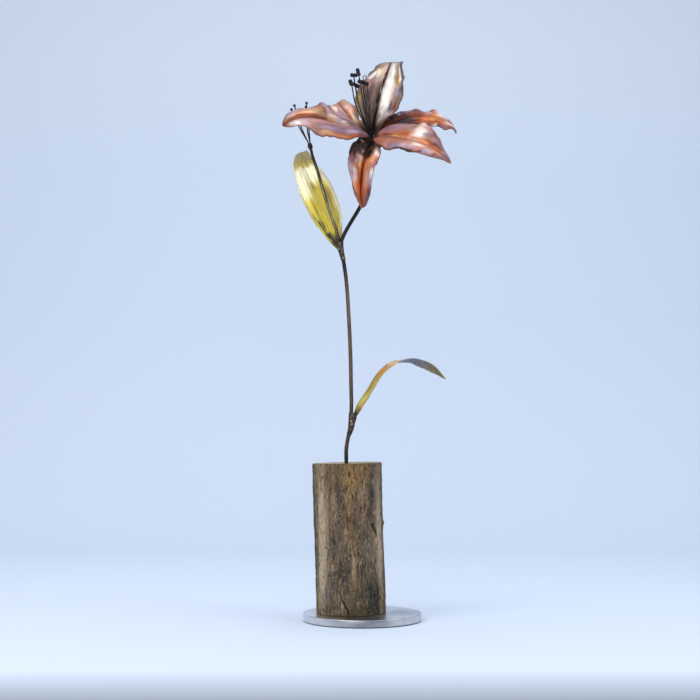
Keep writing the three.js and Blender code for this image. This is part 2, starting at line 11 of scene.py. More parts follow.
import bmesh
import bpy
import numpy as np
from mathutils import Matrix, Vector


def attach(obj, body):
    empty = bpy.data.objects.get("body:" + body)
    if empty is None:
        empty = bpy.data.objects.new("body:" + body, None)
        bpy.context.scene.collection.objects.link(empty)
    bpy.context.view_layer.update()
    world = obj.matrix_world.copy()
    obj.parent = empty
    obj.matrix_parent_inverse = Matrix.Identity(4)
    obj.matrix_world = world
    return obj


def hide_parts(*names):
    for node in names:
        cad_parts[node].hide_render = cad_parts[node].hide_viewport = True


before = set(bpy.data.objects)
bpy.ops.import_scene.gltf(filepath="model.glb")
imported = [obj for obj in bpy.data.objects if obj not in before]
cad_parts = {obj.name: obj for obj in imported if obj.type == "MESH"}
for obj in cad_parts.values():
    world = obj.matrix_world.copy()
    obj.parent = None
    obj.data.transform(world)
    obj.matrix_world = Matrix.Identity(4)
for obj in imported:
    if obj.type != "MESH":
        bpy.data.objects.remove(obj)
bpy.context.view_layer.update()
print("CAD nodes:", len(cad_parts))

# %% [markdown]
# ## Camera
#
# A tall thin object is best seen from low down and some way off, so that its uprights stay
# parallel. The camera is level with the lower brazed joint and looks up by about three degrees.

# %% Camera
MM = 0.001  # lengths below are in millimetres, and Blender's are in metres


def linear(code):
    """The linear colour of a hex code. Each channel c becomes c/12.92 below 0.04045, and
    ((c + 0.055) / 1.055) to the power 2.4 above it."""
    channels = np.array([int(code[i : i + 2], 16) for i in (0, 2, 4)]) / 255
    low, high = channels / 12.92, ((channels + 0.055) / 1.055) ** 2.4
    return (*np.where(channels <= 0.04045, low, high).tolist(), 1.0)


scene = bpy.context.scene
scene.view_settings.view_transform = "Standard"

SIGHT_LENGTH = 1450 / 700  # distance over width of the view
SENSOR_WIDTH = 36
CAMERA_PLACE = (-0.0153, -1.854, 0.252)  # metres
LOOK_UP = 2.82  # degrees above level
camera_data = bpy.data.cameras.new("camera")
camera_data.sensor_width = SENSOR_WIDTH
camera_data.lens = SENSOR_WIDTH * SIGHT_LENGTH
camera = bpy.data.objects.new("camera", camera_data)
camera.location = CAMERA_PLACE
camera.rotation_euler = (np.radians(90 + LOOK_UP), 0, 0)
scene.collection.objects.link(camera)
scene.camera = camera
print("lens:", round(camera_data.lens, 2), "mm")

# %% [markdown]
# ## Tools for surfaces
#
# Every piece is a skin: a grid of points worked out with numpy, with quads between neighbours.
# A rod is rings along a line, a petal is one flat loop after another, and a log is rings too.
# A few shared functions turn such grids into closed meshes, so each piece below only has to say
# what its shape is.


# %% Curves through even stations
def eased(values, shares):
    """A smooth curve through evenly spaced values, at shares from 0 to 1. Each span is a cubic
    Hermite whose end slopes are half the difference between the neighbours on both sides."""
    values = np.asarray(values, float)
    last = len(values) - 1
    place = np.clip(shares, 0, 1) * last
    span = np.minimum(place.astype(int), last - 1)
    slopes = np.gradient(values, axis=0)
    t = place - span
    if values.ndim == 2:
        t = t[:, None]
    return (
        values[span] * (2 * t**3 - 3 * t**2 + 1)
        + slopes[span] * (t**3 - 2 * t**2 + t)
        + values[span + 1] * (3 * t**2 - 2 * t**3)
        + slopes[span + 1] * (t**3 - t**2)
    )


def unit(vectors):
    """Each vector divided by its length."""
    return vectors / np.linalg.norm(vectors, axis=-1, keepdims=True)


def square_to(vectors, runs):
    """The part of each vector that is square to its run: v - (v . run) run, made one long."""
    along = np.sum(vectors * runs, axis=-1, keepdims=True)
    return unit(vectors - along * runs)


def soft_noise(shape, across, seed):
    """A smooth random field, mostly between -1 and 1, that wraps round at its edges. White noise
    from a fixed seed has its spectrum damped by exp(-4 |frequency * across|^2), where across is
    the size of the features in cells."""
    white = np.random.default_rng(seed).standard_normal(shape)
    rows = np.fft.fftfreq(shape[0])[:, None] * across[0]
    columns = np.fft.fftfreq(shape[1])[None, :] * across[1]
    damped = np.fft.fft2(white) * np.exp(-4 * (rows**2 + columns**2))
    field = np.fft.ifft2(damped).real
    return field / field.std() / 2.5


# %% Meshes from rings
def make_piece(name, points, faces, finish, masks, maps=None):
    """A mesh object from points in millimetres. Its faces are turned outwards if its volume
    comes out negative. The masks are named floats or colours per point that its finish reads,
    and maps is one (x, y) per point for the UV map."""
    mesh = bpy.data.meshes.new(name)
    mesh.from_pydata((points * MM).tolist(), [], faces)
    solid = bmesh.new()
    solid.from_mesh(mesh)
    if solid.calc_volume(signed=True) < 0:
        bmesh.ops.reverse_faces(solid, faces=solid.faces)
        solid.to_mesh(mesh)
    solid.free()
    mesh.shade_smooth()
    corners = np.zeros(len(mesh.loops), int)
    mesh.loops.foreach_get("vertex_index", corners)
    if maps is not None:
        layer = mesh.uv_layers.new(name="UVMap")
        layer.data.foreach_set("uv", maps[corners].astype(np.float32).ravel())
    for label, values in masks.items():
        kind, field = ("FLOAT", "value") if values.ndim == 1 else ("FLOAT_COLOR", "color")
        attribute = mesh.attributes.new(label, kind, "POINT")
        attribute.data.foreach_set(field, values.astype(np.float32).ravel())
    mesh.materials.append(finish)
    piece = bpy.data.objects.new(name, mesh)
    scene.collection.objects.link(piece)
    triangles = sum(len(face) - 2 for face in faces)
    print(f"{name}: {triangles} triangles")
    return piece


def grid_quads(rows, sides):
    """Quads between neighbouring rows of points, where each row is a closed loop."""
    start, k = np.arange(rows - 1)[:, None] * sides, np.arange(sides)[None, :]
    after = (k + 1) % sides
    quads = np.stack([start + k, start + after, start + after + sides, start + k + sides], -1)
    return quads.reshape(-1, 4)


def ring_faces(rings, sides):
    """Quads between the rings, then a fan of triangles at each end to two poles, whose points
    come after the rings."""
    k = np.arange(sides)
    after = (k + 1) % sides
    foot, head, last = rings * sides, rings * sides + 1, (rings - 1) * sides
    foot_fan = np.stack([np.full(sides, foot), after, k], -1)
    head_fan = np.stack([np.full(sides, head), last + k, last + after], -1)
    return grid_quads(rings, sides).tolist() + foot_fan.tolist() + head_fan.tolist()


def ringed_piece(name, rings, finish, masks):
    """A closed piece from an array of rings of points. Its poles are the middles of the first
    and the last ring, and take the mean of those rings' masks."""
    count, sides = rings.shape[:2]

    def with_poles(grid):
        rows = grid.reshape(count, sides, -1)
        return np.vstack([rows.reshape(count * sides, -1), rows[0].mean(0), rows[-1].mean(0)])

    masks = {label: with_poles(grid)[:, 0] for label, grid in masks.items()}
    return make_piece(name, with_poles(rings), ring_faces(count, sides), finish, masks)


def dress(piece, node):
    """The piece rides on the object's one body and takes a CAD node's place."""
    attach(piece, "root")
    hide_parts(node)


# %% Rods
def angles_round(sides):
    """Even angles in radians, one for each side."""
    return 2 * np.pi * np.arange(sides) / sides


def turn_from(centre, angles):
    """The turn from one angle to others, the short way round."""
    return np.arctan2(np.sin(angles - centre), np.cos(angles - centre))


def end_to_end(count):
    """Shares from 0 to 1 that crowd together at both ends: (1 - cos(pi k / count)) / 2."""
    return (1 - np.cos(np.pi * np.arange(count + 1) / count)) / 2


def lengths_along(line):
    """Distance from the line's start to each of its points."""
    steps = np.linalg.norm(np.diff(line, axis=0), axis=1)
    return np.concatenate([[0], np.cumsum(steps)])


def rounded(line, radii, corner):
    """Radii, one or one for each point, with rounded corners at both ends: within the corner c
    of an end, at distance d from it, the radius falls by c - sqrt(c^2 - (c - d)^2)."""
    along = lengths_along(line)
    from_end = np.clip(np.minimum(along, along[-1] - along), 0, corner)
    return radii - corner + np.sqrt(np.maximum(corner**2 - (corner - from_end) ** 2, 0))


def rings_round(line, radii, sides, facing=(0, -1, 0.01)):
    """Rings of points round a line: centre + radius (cos a normal + sin a binormal). The normal
    is the part of a fixed direction that is square to the line, so the rings never twist.
    Radii are one for each ring, or one for each point."""
    runs = unit(np.gradient(line, axis=0))
    normals = square_to(np.broadcast_to(np.array(facing, float), runs.shape), runs)
    binormals = np.cross(runs, normals)
    angles = angles_round(sides)
    spokes = normals[:, None] * np.cos(angles)[:, None] + binormals[:, None] * np.sin(angles)[:, None]
    radii = np.asarray(radii, float)
    if radii.ndim == 1:
        radii = radii[:, None]
    return line[:, None] + spokes * radii[..., None]


def turned_rings(profile, sides):
    """Rings of a turned shape from (radius, height) pairs: (r cos a, r sin a, h)."""
    angles = angles_round(sides)
    radius, height = np.array(profile, float).T[:, :, None]
    flat = np.ones(sides)
    return np.stack([radius * np.cos(angles), radius * np.sin(angles), height * flat], -1)


# %% [markdown]
# ## Tools for finishes
#
# A finish is a tree of shader nodes that ends in one Principled shader. Effects that several
# finishes share are node groups: hammer marks, streaks along a piece, flecks, a wash of a second
# colour, and the worn rim of a sheet. Each group is built once, and each finish gives it its
# own numbers.


# %% Nodes in one line each
def fill(tree, node, inputs):
    """Links a node's inputs to sockets or sets them, by name or number. A text is a hex code."""
    for name, value in inputs.items():
        if isinstance(value, bpy.types.NodeSocket):
            tree.links.new(value, node.inputs[name])
        else:
            node.inputs[name].default_value = linear(value) if isinstance(value, str) else value


def put(tree, kind, inputs=None, **settings):
    """Adds a node, sets its plain settings, and links or fills its inputs."""
    made = tree.nodes.new("ShaderNode" + kind)
    for name, value in settings.items():
        setattr(made, name, value)
    fill(tree, made, inputs or {})
    return made


def sums(tree, operation, *values):
    """The result of one Math node."""
    return put(tree, "Math", dict(enumerate(values)), operation=operation).outputs[0]


def times(tree, *values):
    """Two numbers multiplied."""
    return sums(tree, "MULTIPLY", *values)


def plus(tree, *values):
    """Two numbers added."""
    return sums(tree, "ADD", *values)


def heaped(tree, *layers):
    """A height from layers, each (value, weight): the sum of value times weight."""
    total = times(tree, *layers[0])
    for layer in layers[1:]:
        total = plus(tree, total, times(tree, *layer))
    return total


def mixed(tree, factor, first, second):
    """A mix of two colours. Sockets 0, 6 and 7 are the colour mix's factor, A and B."""
    return put(tree, "Mix", {0: factor, 6: first, 7: second}, data_type="RGBA").outputs[2]


def spread(tree, value, low, high, to_low=0.0, to_high=1.0):
    """The value moved from the range low to high onto to_low to to_high, and kept inside it."""
    names = ("Value", "From Min", "From Max", "To Min", "To Max")
    inputs = dict(zip(names, (value, low, high, to_low, to_high)))
    return put(tree, "MapRange", inputs).outputs[0]


def scaled(tree, colour, amount):
    """A colour times one number, so that it grows lighter or darker."""
    return put(tree, "VectorMath", {0: colour, "Scale": amount}, operation="SCALE").outputs[0]


def noise(tree, vector, scale, detail=3.0, rough=0.55):
    """Blender's noise, from 0 to 1."""
    inputs = {"Vector": vector, "Scale": scale, "Detail": detail, "Roughness": rough}
    return put(tree, "TexNoise", inputs).outputs[0]


def stretched(tree, vector, scale):
    """The vector with each of its parts multiplied by its own number."""
    return put(tree, "Mapping", {"Vector": vector, "Scale": scale}).outputs[0]


def new_group(name, inputs, outputs):
    """An empty node group with named sockets, and its two end nodes."""
    group = bpy.data.node_groups.new(name, "ShaderNodeTree")
    for label, kind, value in inputs:
        socket = group.interface.new_socket(label, in_out="INPUT", socket_type="NodeSocket" + kind)
        if value is not None:
            socket.default_value = value
    for label, kind in outputs:
        group.interface.new_socket(label, in_out="OUTPUT", socket_type="NodeSocket" + kind)
    return group, group.nodes.new("NodeGroupInput").outputs, group.nodes.new("NodeGroupOutput").inputs


def use(tree, group, inputs):
    """A node that stands for the group, with its inputs linked or filled."""
    made = tree.nodes.new("ShaderNodeGroup")
    made.node_tree = group
    fill(tree, made, inputs)
    return made.outputs


# %% Shared effects
def hammer_group():
    """Hammer marks: shallow dishes with soft rims, from the distance to scattered points, with
    a little noise on top."""
    group, given, result = new_group(
        "hammer_marks", [("Vector", "Vector", None), ("Scale", "Float", 150.0)], [("Height", "Float")]
    )
    dishes = put(
        group, "TexVoronoi", {"Vector": given["Vector"], "Scale": given["Scale"], "Smoothness": 0.6},
        feature="SMOOTH_F1",
    ).outputs["Distance"]
    grit = noise(group, given["Vector"], times(group, given["Scale"], 5.0))
    height = plus(group, dishes, times(group, grit, 0.25))
    group.links.new(height, result["Height"])
    return group


def streak_group():
    """Streaks that run along a piece: noise on its UV map, stretched by Along and Across."""
    group, given, result = new_group(
        "streaks",
        [("Vector", "Vector", None), ("Along", "Float", 2.0), ("Across", "Float", 20.0)],
        [("Value", "Float")],
    )
    scale = put(group, "CombineXYZ", {"X": given["Along"], "Y": given["Across"], "Z": 1.0}).outputs[0]
    vector = put(group, "VectorMath", {0: given["Vector"], 1: scale}, operation="MULTIPLY").outputs[0]
    group.links.new(noise(group, vector, 1.0, 5.0, 0.6), result["Value"])
    return group


def fleck_group():
    """Small flecks: noise that passes a threshold. Cover is the share that they cover."""
    group, given, result = new_group(
        "flecks",
        [("Vector", "Vector", None), ("Scale", "Float", 300.0), ("Cover", "Float", 0.3)],
        [("Mask", "Float")],
    )
    field = noise(group, given["Vector"], given["Scale"], 4.0, 0.65)
    middle = sums(group, "SUBTRACT", 0.7, times(group, given["Cover"], 0.4))
    low = sums(group, "SUBTRACT", middle, 0.06)
    high = plus(group, middle, 0.06)
    group.links.new(spread(group, field, low, high), result["Mask"])
    return group


def wash_group():
    """A wash of a second colour over a first. The mask is painted on the piece, and a noise
    breaks it up where it is neither full nor empty: m + (n - 0.5) 4 m (1 - m)."""
    group, given, result = new_group(
        "wash",
        [("Under", "Color", None), ("Over", "Color", None), ("Mask", "Float", 0.0), ("Break", "Float", 0.5)],
        [("Color", "Color")],
    )
    mask = given["Mask"]
    uneven = times(group, mask, sums(group, "SUBTRACT", 1.0, mask))
    uneven = times(group, uneven, 4.0)
    shift = times(group, uneven, sums(group, "SUBTRACT", given["Break"], 0.5))
    factor = spread(group, plus(group, mask, shift), 0.0, 1.0)
    group.links.new(mixed(group, factor, given["Under"], given["Over"]), result["Color"])
    return group


def rim_group():
    """The rim of a sheet: 1 at either long edge and 0 further in than Width, as a share of the
    half width. Wander moves its inner border."""
    group, given, result = new_group(
        "sheet_rim",
        [("Across", "Float", 0.5), ("Width", "Float", 0.1), ("Wander", "Float", 0.5)],
        [("Mask", "Float")],
    )
    from_middle = sums(group, "ABSOLUTE", sums(group, "SUBTRACT", given["Across"], 0.5))
    from_edge = sums(group, "SUBTRACT", 1.0, times(group, from_middle, 2.0))
    width = times(group, given["Width"], plus(group, given["Wander"], 0.5))
    group.links.new(spread(group, from_edge, 0.0, width, 1.0, 0.0), result["Mask"])
    return group


HAMMER, STREAKS, FLECKS = hammer_group(), streak_group(), fleck_group()
WASH, RIM = wash_group(), rim_group()
print("node groups:", sorted(group.name for group in bpy.data.node_groups))


def start_finish(name, **settings):
    """A new material. Returns it with its tree, its shader and its Object coordinates."""
    finish = bpy.data.materials.new(name)
    finish.use_nodes = True
    tree = finish.node_tree
    shader = tree.nodes["Principled BSDF"]
    fill(tree, shader, {label.replace("_", " "): value for label, value in settings.items()})
    coordinates = put(tree, "TexCoord").outputs["Object"]
    return finish, tree, shader, coordinates


def finish_off(tree, shader, colour, roughness, height, lift):
    """Links colour and roughness to the shader, and the height as a bump of that many metres."""
    bump = put(tree, "Bump", {"Height": height, "Distance": lift, "Strength": 1.0}).outputs[0]
    fill(tree, shader, {"Base Color": colour, "Roughness": roughness, "Normal": bump})


def painted(tree, label):
    """The mask of that name that the piece carries."""
    return put(tree, "Attribute", attribute_name=label).outputs["Fac"]


def hammered(tree, place, scale):
    """The height of hammer marks."""
    return use(tree, HAMMER, {"Vector": place, "Scale": scale})["Height"]


def streaked(tree, place, along, across):
    """The value of streaks."""
    return use(tree, STREAKS, {"Vector": place, "Along": along, "Across": across})["Value"]


def flecked(tree, place, scale, cover):
    """The mask of flecks."""
    return use(tree, FLECKS, {"Vector": place, "Scale": scale, "Cover": cover})["Mask"]


def washed(tree, under, over, mask, broken):
    """One colour washed over another, by a mask that a noise breaks up."""
    return use(tree, WASH, {"Under": under, "Over": over, "Mask": mask, "Break": broken})["Color"]


# %% [markdown]
# ## Light
#
# Polished metal shows what is around it more than its own colour. So the light is four large
# soft boxes, which give long smooth highlights, and a sky that is pale overhead and dim at the
# horizon. Where a petal turns from one to the other it goes from bright to dark, and its shape
# can be read.

# %% Soft boxes
SOFT_BOXES = {
    # name: (place in metres, width, power in watts, colour)
    "box_left": ((-1.3, -1.2, 1.6), 1.0, 16, "FFFAF4"),
    "box_right": ((1.7, -1.0, 0.9), 0.9, 9, "F4F7FF"),
    "box_above": ((0.2, 0.3, 2.2), 1.5, 14, "FFFFFF"),
    "box_front": ((-0.5, -2.7, 1.1), 1.8, 34, "FFFFFF"),
}
AIM = Vector((0, 0, 0.45))

for name, (place, width, power, tone) in SOFT_BOXES.items():
    light = bpy.data.lights.new(name, "AREA")
    light.size = width
    light.energy = power
    light.color = linear(tone)[:3]
    box = bpy.data.objects.new(name, light)
    box.location = place
    box.rotation_euler = (AIM - box.location).to_track_quat("-Z", "Y").to_euler()
    scene.collection.objects.link(box)

# %% Sky
SKY = {"horizon": "868C95", "overhead": "F2F6FC", "strength": 0.72}


def make_sky():
    """A world whose colour runs from the horizon's to the one overhead as the height of the
    direction, its Z, goes from -0.05 to 0.8, and also towards the two sides, where its X is
    large, so that upright rods and rims get a light edge."""
    world = bpy.data.worlds.new("studio")
    world.use_nodes = True
    tree = world.node_tree
    direction = put(tree, "TexCoord").outputs["Generated"]
    parts = put(tree, "SeparateXYZ", {"Vector": direction}).outputs
    sideways = spread(tree, sums(tree, "ABSOLUTE", parts["X"]), 0.7, 1.0, 0.0, 0.75)
    bright = sums(tree, "MAXIMUM", spread(tree, parts["Z"], -0.05, 0.8), sideways)
    colour = mixed(tree, bright, SKY["horizon"], SKY["overhead"])
    background = tree.nodes["Background"]
    tree.links.new(colour, background.inputs["Color"])
    background.inputs["Strength"].default_value = SKY["strength"]
    scene.world = world


make_sky()

# %% [markdown]
# ## The paper floor
#
# The sculpture stands on a sheet of pale paper that curves up behind it. It isn't part of the
# object. It is one bent sheet, made from a profile in Y and Z that is carried along X.

# %% Floor
FLOOR = {"half_width": 3.0, "front": -2.6, "bend": 1.0, "radius": 0.9, "top": 3.2}  # metres


def floor_profile():
    """Level from the front to the bend, a quarter circle up, then straight up."""
    angles = np.linspace(0, np.pi / 2, 25)
    curve_y = FLOOR["bend"] + FLOOR["radius"] * np.sin(angles)
    curve_z = FLOOR["radius"] * (1 - np.cos(angles))
    y = np.concatenate([[FLOOR["front"]], curve_y, [curve_y[-1]]])
    z = np.concatenate([[0.0], curve_z, [FLOOR["top"]]])
    return y, z


def paper_finish():
    """Matt pale blue paper whose tone wavers by a hair, with a painted shadow that darkens it some
    way in front of the object and painted light that pales it towards its top."""
    finish, tree, shader, place = start_finish("paper", Specular_IOR_Level=0.1)
    waver = noise(tree, place, 1.5, 2.0)
    colour = mixed(tree, waver, "D0DDEF", "D3DFF1")
    parts = put(tree, "SeparateXYZ", {"Vector": place}).outputs
    # A painted shadow on the floor in front of the object, then painted light up the backdrop.
    colour = mixed(tree, spread(tree, parts["Y"], -0.55, -0.37, 0.85, 0.0), colour, "7C858E")
    colour = mixed(tree, spread(tree, parts["Z"], 0.5, 1.2), colour, "DAE5F2")
    rough = spread(tree, waver, 0.0, 1.0, 0.85, 0.95)
    finish_off(tree, shader, colour, rough, noise(tree, place, 900.0), 0.00002)
    return finish


def make_floor():
    """The profile at both ends of its width, with one quad between each pair of points."""
    y, z = floor_profile()
    half = FLOOR["half_width"]
    points = np.array([[x, b, c] for x in (-half, half) for b, c in zip(y, z)])
    count = len(y)
    mesh = bpy.data.meshes.new("floor")
    quads = [(i, i + count, i + count + 1, i + 1) for i in range(count - 1)]
    mesh.from_pydata(points.tolist(), [], quads)
    mesh.shade_smooth()
    mesh.materials.append(paper_finish())
    floor = bpy.data.objects.new("floor", mesh)
    scene.collection.objects.link(floor)


make_floor()

# %% [markdown]
# ## Steel plate and screws
#
# The plate is a disc cut from ten-millimetre steel, with its edges rounded over, and rubbed with
# abrasive cloth so that fine straight lines run across its top. Turning a profile gives a
# perfectly round disc, and a boolean modifier drills the two countersunk holes from below.
# Brushed steel is a bump made of noise that is squeezed in one direction. A darker tone is
# painted near the front, on the right and at the back, partly tarnish and partly painted shade,
# and a painted contact shadow is full along the foot of the rim.


# %% Steel finishes
def brushed_steel():
    """Straight brushing on the top, which turns into level lines on the rim because the noise
    is squeezed in Y and Z and long in X."""
    finish, tree, shader, place = start_finish("brushed_steel", Metallic=1.0)
    lines = noise(tree, stretched(tree, place, (14, 900, 900)), 1.0, 6.0, 0.6)
    wide = noise(tree, stretched(tree, place, (9, 60, 220)), 1.0, 2.0)
    cloudy = noise(tree, place, 18.0, 4.0)
    colour = mixed(tree, wide, "C6C5C6", "E4E3E3")
    colour = mixed(tree, spread(tree, lines, 0.3, 0.75, 0.0, 0.45), colour, "FBF9F8")
    colour = mixed(tree, times(tree, flecked(tree, place, 45.0, 0.3), 0.2), colour, "6C6A68")
    # The mask darkens the steel: partly tarnish, partly painted shade, and a painted contact shadow at the
    # foot.
    colour = washed(tree, colour, "6E737C", painted(tree, "shade_and_tarnish"), cloudy)
    rough = spread(tree, cloudy, 0.25, 0.75, 0.24, 0.36)
    finish_off(tree, shader, colour, rough, lines, 0.00006)
    return finish


def zinc_steel():
    """Plated screw steel: fine turned grain and a few dull flecks."""
    finish, tree, shader, place = start_finish("zinc_steel", Metallic=1.0)
    fleck = flecked(tree, place, 700.0, 0.45)
    colour = mixed(tree, fleck, "B9BCC0", "8F9196")
    rough = spread(tree, fleck, 0.0, 1.0, 0.3, 0.5)
    finish_off(tree, shader, colour, rough, noise(tree, place, 2500.0), 0.00003)
    return finish


BRUSHED_STEEL, ZINC_STEEL = brushed_steel(), zinc_steel()

# %% Plate
PLATE = {"radius": 75, "height": 10, "upper_round": 0.8, "lower_round": 1.76}
SCREW = {"x": -14.7, "offset": 20, "head": 4.6, "shank": 2.2, "head_height": 2.4, "sunk": 0.5}
CLEARANCE = 0.3
SHADE_AND_TARNISH = [(0, -75, 40, 0.8), (48, 5, 28, 0.7), (-20, 45, 40, 0.6)]  # x, y, reach, strength
SHADOWED_FOOT = 1.5  # height of the rim's foot, which carries a full painted contact shadow
PLATE_SIDES, HOLE_SIDES = 240, 48


def plate_rings():
    """A disc whose edges are rounded off by quarter circles, a small one above and a larger one
    below."""
    radius, height, above, below = PLATE.values()
    bend = [(1 - np.sin(a), 1 - np.cos(a)) for a in np.radians([0, 22, 45, 68, 90])]
    lower = [(radius - below * inward, below * rise) for inward, rise in bend]
    upper = [(radius - above * inward, height - above * rise) for inward, rise in reversed(bend)]
    steps = [radius * share for share in (0.02, 0.2, 0.4, 0.55, 0.68, 0.78, 0.86, 0.93, 0.97)]
    foot, lid = [(step, 0) for step in steps], [(step, height) for step in reversed(steps)]
    return turned_rings(foot + lower + upper + lid, PLATE_SIDES)


def screw_profile(grow, bottom, reach):
    """Head, countersink and shank as (radius, height) pairs, grown by a clearance."""
    head, shank = SCREW["head"] + grow, SCREW["shank"] + grow
    sunk, shoulder = SCREW["sunk"], SCREW["sunk"] + SCREW["head_height"] + grow
    return [
        (0.05, bottom), (head, bottom), (head, sunk), (shank, shoulder), (shank, reach), (0.05, reach),
    ]


def plate_shade_and_tarnish(rings):
    """Soft spots of tarnish and painted shade, strength exp(-(distance / reach)^2), added up, and 1 on the
    foot of the rim, a painted contact shadow.
    """
    x, y, z = np.moveaxis(rings, -1, 0)
    shade_and_tarnish = (z < SHADOWED_FOOT) & (np.hypot(x, y) > 0.9 * PLATE["radius"])
    for at_x, at_y, reach, strength in SHADE_AND_TARNISH:
        shade_and_tarnish = shade_and_tarnish + strength * np.exp(-((x - at_x) ** 2 + (y - at_y) ** 2) / reach**2)
    return np.clip(shade_and_tarnish, 0, 1)


rings = plate_rings()
plate = ringed_piece("plate_brushed", rings, BRUSHED_STEEL, {"shade_and_tarnish": plate_shade_and_tarnish(rings)})
drill_rings = turned_rings(screw_profile(CLEARANCE, -1, PLATE["height"] + 2), HOLE_SIDES)
for side in (-1, 1):
    place = np.array([SCREW["x"], side * SCREW["offset"], 0])
    drill = ringed_piece("drill", drill_rings + place, BRUSHED_STEEL, {})
    hole = plate.modifiers.new("hole", "BOOLEAN")
    hole.object = drill
    hole.operation = "DIFFERENCE"
    hole.solver = "EXACT"
    bpy.context.view_layer.objects.active = plate
    bpy.ops.object.modifier_apply(modifier=hole.name)
    bpy.data.objects.remove(drill)
plate.data.set_sharp_from_angle(angle=np.radians(40))
dress(plate, "base_plate")
print("plate with holes:", len(plate.data.polygons), "faces")

# %% [markdown]
# ## The log
#
# The log has lost its bark and has stood outside, so its surface is a skin of weathered fibres:
# fine upright ridges, pits, a few stains and one split knot. It is one closed grid of rings that
# goes from the middle of its foot up the side, in over the top, and down into the hole where
# the rod stands. The broad shape is a radius that depends on angle and height. Fibres and pits
# are smooth random fields that are much longer upwards than across.

# %% Log surface
LOG = {"radius": 43, "height": 189, "foot_x": -14.7, "top_x": -18.9, "slope": 0.02, "dish": 1.0}
LOG_FOOT = PLATE["height"] + CLEARANCE
ROD_RADIUS = 2.5
SOCKET = {"x": -20.0, "floor": 165.7, "radius": ROD_RADIUS + CLEARANCE}
SIDES, LEVELS = 360, 200
BUMPS = [
    # degrees round, millimetres up, half width in radians, half height, height of the bump
    (-42, 104, 0.16, 14, 1.6), (-3, 113, 0.14, 7, 0.5), (-3, 113, 0.05, 2.2, 0.9), (-100, 16, 0.09, 26, -1),
]
CLEFTS = [
    # degrees round, millimetres up, lean, half length, width, depth
    (-43.5, 106, -3.2, 7, 1.6, 3.2), (-99, 13, -2.3, 15, 1.2, 2.0), (-155, 90, 40, 60, 0.5, 1.2),
    (80, 110, -60, 75, 0.7, 2.2), (10, 60, 50, 45, 0.5, 1.4),
]
CHECKS = [(-1.9, 0.05), (-0.7, 0.04), (0.5, 0.06), (1.7, 0.035), (2.9, 0.05)]  # turn and width in radians


def near(angles, heights, degrees, height, wide, tall):
    """A soft spot: exp(-(turn / wide)^2 - (rise / tall)^2), with turn taken the short way."""
    turn = turn_from(np.radians(degrees), angles)
    return np.exp(-((turn / wide) ** 2) - ((heights - height) / tall) ** 2)


def cleft(angles, heights, degrees, height, lean, length, width):
    """A soft line through the spot that leans by so many millimetres in height for each one
    across, wavers, and fades over its length."""
    across = LOG["radius"] * turn_from(np.radians(degrees), angles)
    rise = heights - height
    off_line = across - rise / lean + 0.8 * np.sin(rise / 3.1)
    return np.exp(-((off_line / width) ** 2) - (rise / length) ** 4)


def log_radius(angles, heights):
    """The broad radius: a circle with slow waves, shallow flutes, a knot, a nub and a hollow."""
    broad = 0.7 * np.cos(2 * angles + 0.6) + 0.5 * np.cos(3 * angles + 0.02 * heights)
    flutes = 0.45 * np.cos(11 * angles + 0.012 * heights) + 0.3 * np.cos(17 * angles - 0.01 * heights)
    bumps = sum(rise * near(angles, heights, *spot) for *spot, rise in BUMPS)
    return LOG["radius"] + broad + flutes + bumps


def log_fibres(shape):
    """Fibres, waves and pits in millimetres: long fields for the fibres, short ones for pits."""
    fibres = soft_noise(shape, (20, 2.6), 11)
    strands = soft_noise(shape, (7, 1.7), 12)
    swells = soft_noise(shape, (40, 9), 13)
    grooves = np.clip(1 - np.abs(soft_noise(shape, (14, 3.4), 15)) / 0.12, 0, 1)
    pits = np.clip(soft_noise(shape, (4, 1.8), 14) - 0.4, 0, 1)
    depth = 0.38 * fibres + 0.3 * strands + 0.45 * swells - 1.0 * pits - 0.55 * grooves
    return depth, np.clip(pits + 0.45 * grooves, 0, 1)


def log_top(edge, angles):
    """Rings from the sawn edge in to the rim of the hole, with saw marks and drying checks that
    fade out at both. Returns them with the checks' mask."""
    hole = np.stack([
        SOCKET["x"] + SOCKET["radius"] * np.cos(angles), SOCKET["radius"] * np.sin(angles),
        np.full(SIDES, edge[:, 2].mean() - LOG["dish"]),
    ], -1)
    inward = np.concatenate([[0.012, 0.03], np.linspace(0.06, 1, 30)])[:, None]
    top = edge + (hole - edge) * inward[..., None]
    saw_marks = 0.12 * np.sin(top[..., 0] * 1.9 + 0.6 * np.sin(top[..., 1] / 9))
    checks = np.zeros(top.shape[:2])
    for turn, width in CHECKS:
        off = turn_from(turn + 0.06 * np.sin(9 * inward), angles)
        checks += np.exp(-((off / width) ** 2)) * np.sin(np.pi * np.clip(inward * 1.3, 0, 1))
    fade = np.clip(inward * 20, 0, 1) * np.clip((1 - inward) * 8, 0, 1)
    top[..., 2] += (saw_marks - 1.2 * checks) * fade
    return top, hole, np.clip(checks, 0, 1)


